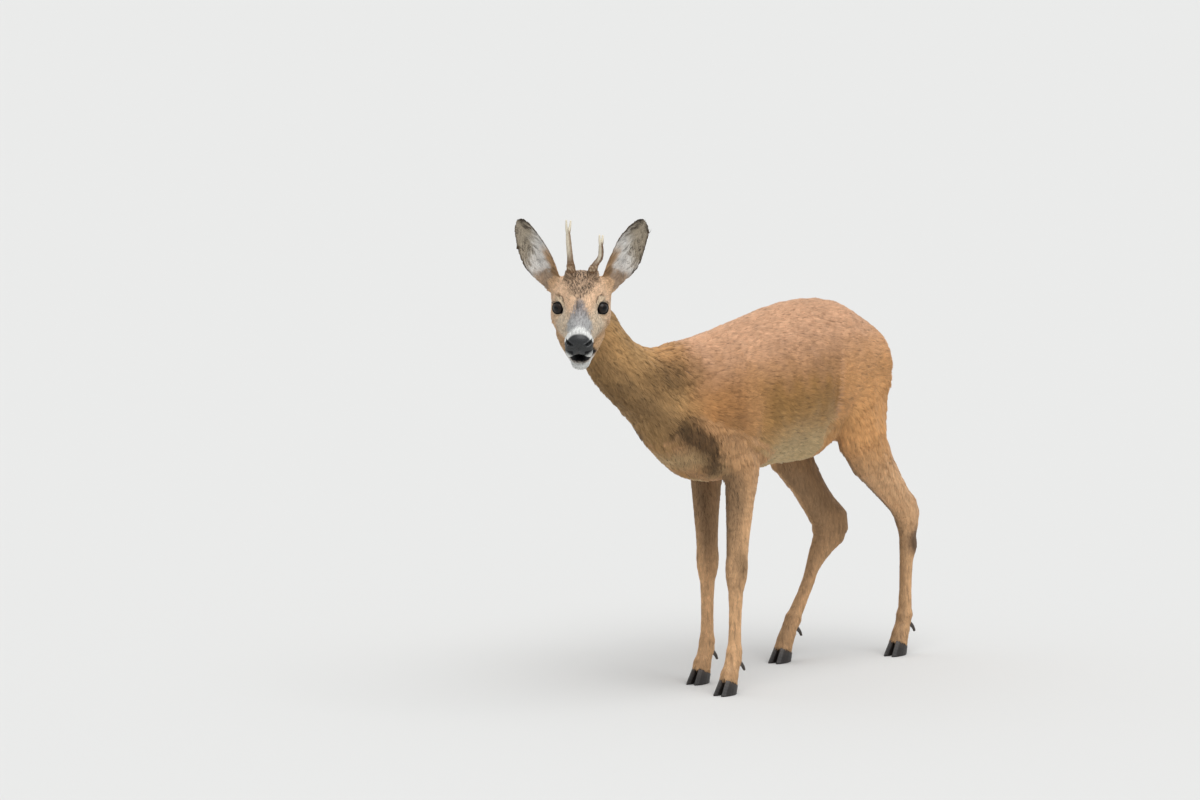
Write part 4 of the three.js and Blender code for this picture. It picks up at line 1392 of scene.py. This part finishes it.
def build_antler(name, material):
    """A beam and its tines in one, with grooves, beads low down and worn pale tips."""
    nodes = tuple(f"{name}_antler_{part}" for part in ("beam", "front_tine", "rear_tine"))
    surface, out = smooth_solid(nodes, 0.75, 4, grow=0.35)
    local = in_head(surface.points)
    low, top = local[:, 2].min(), local[:, 2].max()
    height = (local[:, 2] - low) / (top - low)
    foot = soft(local[:, 2], low + 34, low + 12)
    grooves = ripple(local * [1, 1, 0.1], 3.4, 61)
    beads = np.clip(ripple(local, 5.5, 62) - 0.2, 0, 1) * foot
    burr = np.exp(-(((local[:, 2] - low - 13) / 3) ** 2)) * (1 + 0.4 * ripple(local, 3, 63))
    relief = 0.25 * grooves * (1 - height) + 0.5 * beads + 0.5 * burr
    surface.points = surface.points + out * relief[:, None]
    facing = out @ HEAD_AXES
    worn = soft(-facing[:, 1] - 0.5 * facing[:, 0], 0.5, 0.95) * soft(height, 0.2, 0.5)
    colour = painted(
        ANTLER_FOOT,
        # The beam's brown, darker on the left antler as painted shade.
        (ANTLER_BROWN_AND_SHADE[name], soft(height, 0.2, 0.4)),
        (ANTLER_WORN, np.clip(worn * 0.75 + soft(height, 0.7, 0.9), 0, 1)),
        (ANTLER_PEARL, np.clip(beads * 0.5 + burr * 0.2, 0, 1)),
    )
    colour = colour * (1 + 0.2 * grooves * (1 - height))[:, None]
    show_worked(f"antler_{name}", surface, colour, "antler", material, nodes)


HOOF_BLACK = srgb(40, 36, 34)
HOOF_WORN = srgb(78, 68, 60)


def build_hooves(foot, material):
    """Two claws and two dewclaws, smooth, with faint rings."""
    nodes = tuple(f"{foot}_{side}_{part}" for side in SIDES for part in ("claw", "dewclaw"))
    surface, out = smooth_solid(nodes, 1.1, 3)
    z = surface.points[:, 2]
    rings = np.sin((z + 0.35 * surface.points[:, 1]) * 1.05 + 0.5 * ripple(surface.points, 30, 64))
    surface.points = surface.points + out * (0.07 * rings * soft(z, 1, 4))[:, None]
    surface.points[:, 2] = np.maximum(surface.points[:, 2], 0)
    colour = mixed(HOOF_BLACK, HOOF_WORN, soft(z, 10, 30) * 0.6)
    show_worked(f"hooves_{foot}", surface, colour * (1 + 0.1 * rings)[:, None], "hoof", material, nodes)


# ---------------------------- the dressed deer

SKIN_TONE = 0.8  # the skin's colour, as a share of the coat's


def dress(materials):
    """The skin and its coat, and then the eyes, lashes, antlers and hooves."""
    skin, kinds = grow_skin()
    site = Site(skin, kinds)
    colours = markings(site)
    flow = lie_of_coat(skin, site)
    places = skin_map(skin, site)
    corners, starts = faces_of(skin.mesh)
    Tufts(skin, site, flow, colours, places).build(materials["hair"])
    mesh = mesh_of("skin", skin.points, corners, starts)
    paint(mesh, colours * SKIN_TONE)
    unwrap(mesh, places)
    nose = site.nose[corners[starts]] > 0.5
    mouth = site.mouth[corners[starts]] > 0.5
    mesh.polygons.foreach_set("material_index", np.where(mouth, 2, np.where(nose, 1, 0)).astype(np.int32))
    on_skin = [materials[name] for name in ("hide", "nose_leather", "mouth_lining")]
    shown("skin", mesh, "coat", *on_skin, stands_for=FLESH)
    for name in SIDES:
        build_eye(name, materials["eye_gloss"])
        build_lashes(name, materials["hair"])
        build_antler(name, materials["antler_bone"])
    for foot in FEET:
        build_hooves(foot, materials["hoof_horn"])


# ---------------------------- studio and camera

CAMERA_AIM = np.array([-179.2, -241.9, 523.4])
CAMERA_TURN = math.radians(34)
CAMERA_RISE = math.radians(7.5)
CAMERA_FAR = 20000.0
LENS = 333.0
FLOOR_SIZE = 60.0
PALE = (0.66, 0.655, 0.64, 1)
SKY_LOW = 0.46
SKY_HIGH = 1.0
SUN_POWER = 1.65
SUN_TURN = math.radians(25)
SUN_TILT = math.radians(28)  # from straight above
SUN_WIDE = math.radians(50)


def build_floor():
    bm = bmesh.new()
    bmesh.ops.create_grid(bm, x_segments=1, y_segments=1, size=FLOOR_SIZE)
    mesh = bpy.data.meshes.new("floor")
    bm.to_mesh(mesh)
    bm.free()
    material = bpy.data.materials.new("floor_paper")
    material.use_nodes = True
    paper = material.node_tree.nodes["Principled BSDF"].inputs
    paper["Base Color"].default_value = PALE
    paper["Roughness"].default_value = 0.9
    mesh.materials.append(material)
    floor = linked("floor", mesh)


def build_sky():
    """A soft sky, brightest overhead."""
    world = bpy.data.worlds.new("studio")
    bpy.context.scene.world = world
    world.use_nodes = True
    nodes, links = world.node_tree.nodes, world.node_tree.links
    backdrop = nodes["Background"]
    backdrop.inputs["Color"].default_value = (0.96, 0.98, 1.0, 1)
    split = nodes.new("ShaderNodeSeparateXYZ")
    rise = nodes.new("ShaderNodeMapRange")
    rise.inputs["To Min"].default_value = SKY_LOW
    rise.inputs["To Max"].default_value = SKY_HIGH
    links.new(nodes.new("ShaderNodeTexCoord").outputs["Generated"], split.inputs["Vector"])
    links.new(split.outputs["Z"], rise.inputs["Value"])
    links.new(rise.outputs["Result"], backdrop.inputs["Strength"])


def build_sun():
    """One wide soft light from above, on the camera's right."""
    lamp = bpy.data.lights.new("sun", "SUN")
    lamp.energy = SUN_POWER
    lamp.angle = SUN_WIDE
    linked("sun", lamp).rotation_euler = (SUN_TILT, 0, CAMERA_TURN + SUN_TURN)


def build_camera():
    toward = np.array([math.sin(CAMERA_TURN) * math.cos(CAMERA_RISE),
                       -math.cos(CAMERA_TURN) * math.cos(CAMERA_RISE), math.sin(CAMERA_RISE)])
    data = bpy.data.cameras.new("camera")
    data.lens = LENS
    data.clip_end = 200
    camera = linked("camera", data)
    camera.location = (CAMERA_AIM + ORIGIN + toward * CAMERA_FAR) * MM
    camera.rotation_euler = (math.pi / 2 - CAMERA_RISE, 0, CAMERA_TURN)
    bpy.context.scene.camera = camera


dress(finishes())
build_floor()
build_sky()
build_sun()
build_camera()
bpy.context.scene.view_settings.view_transform = "Standard"
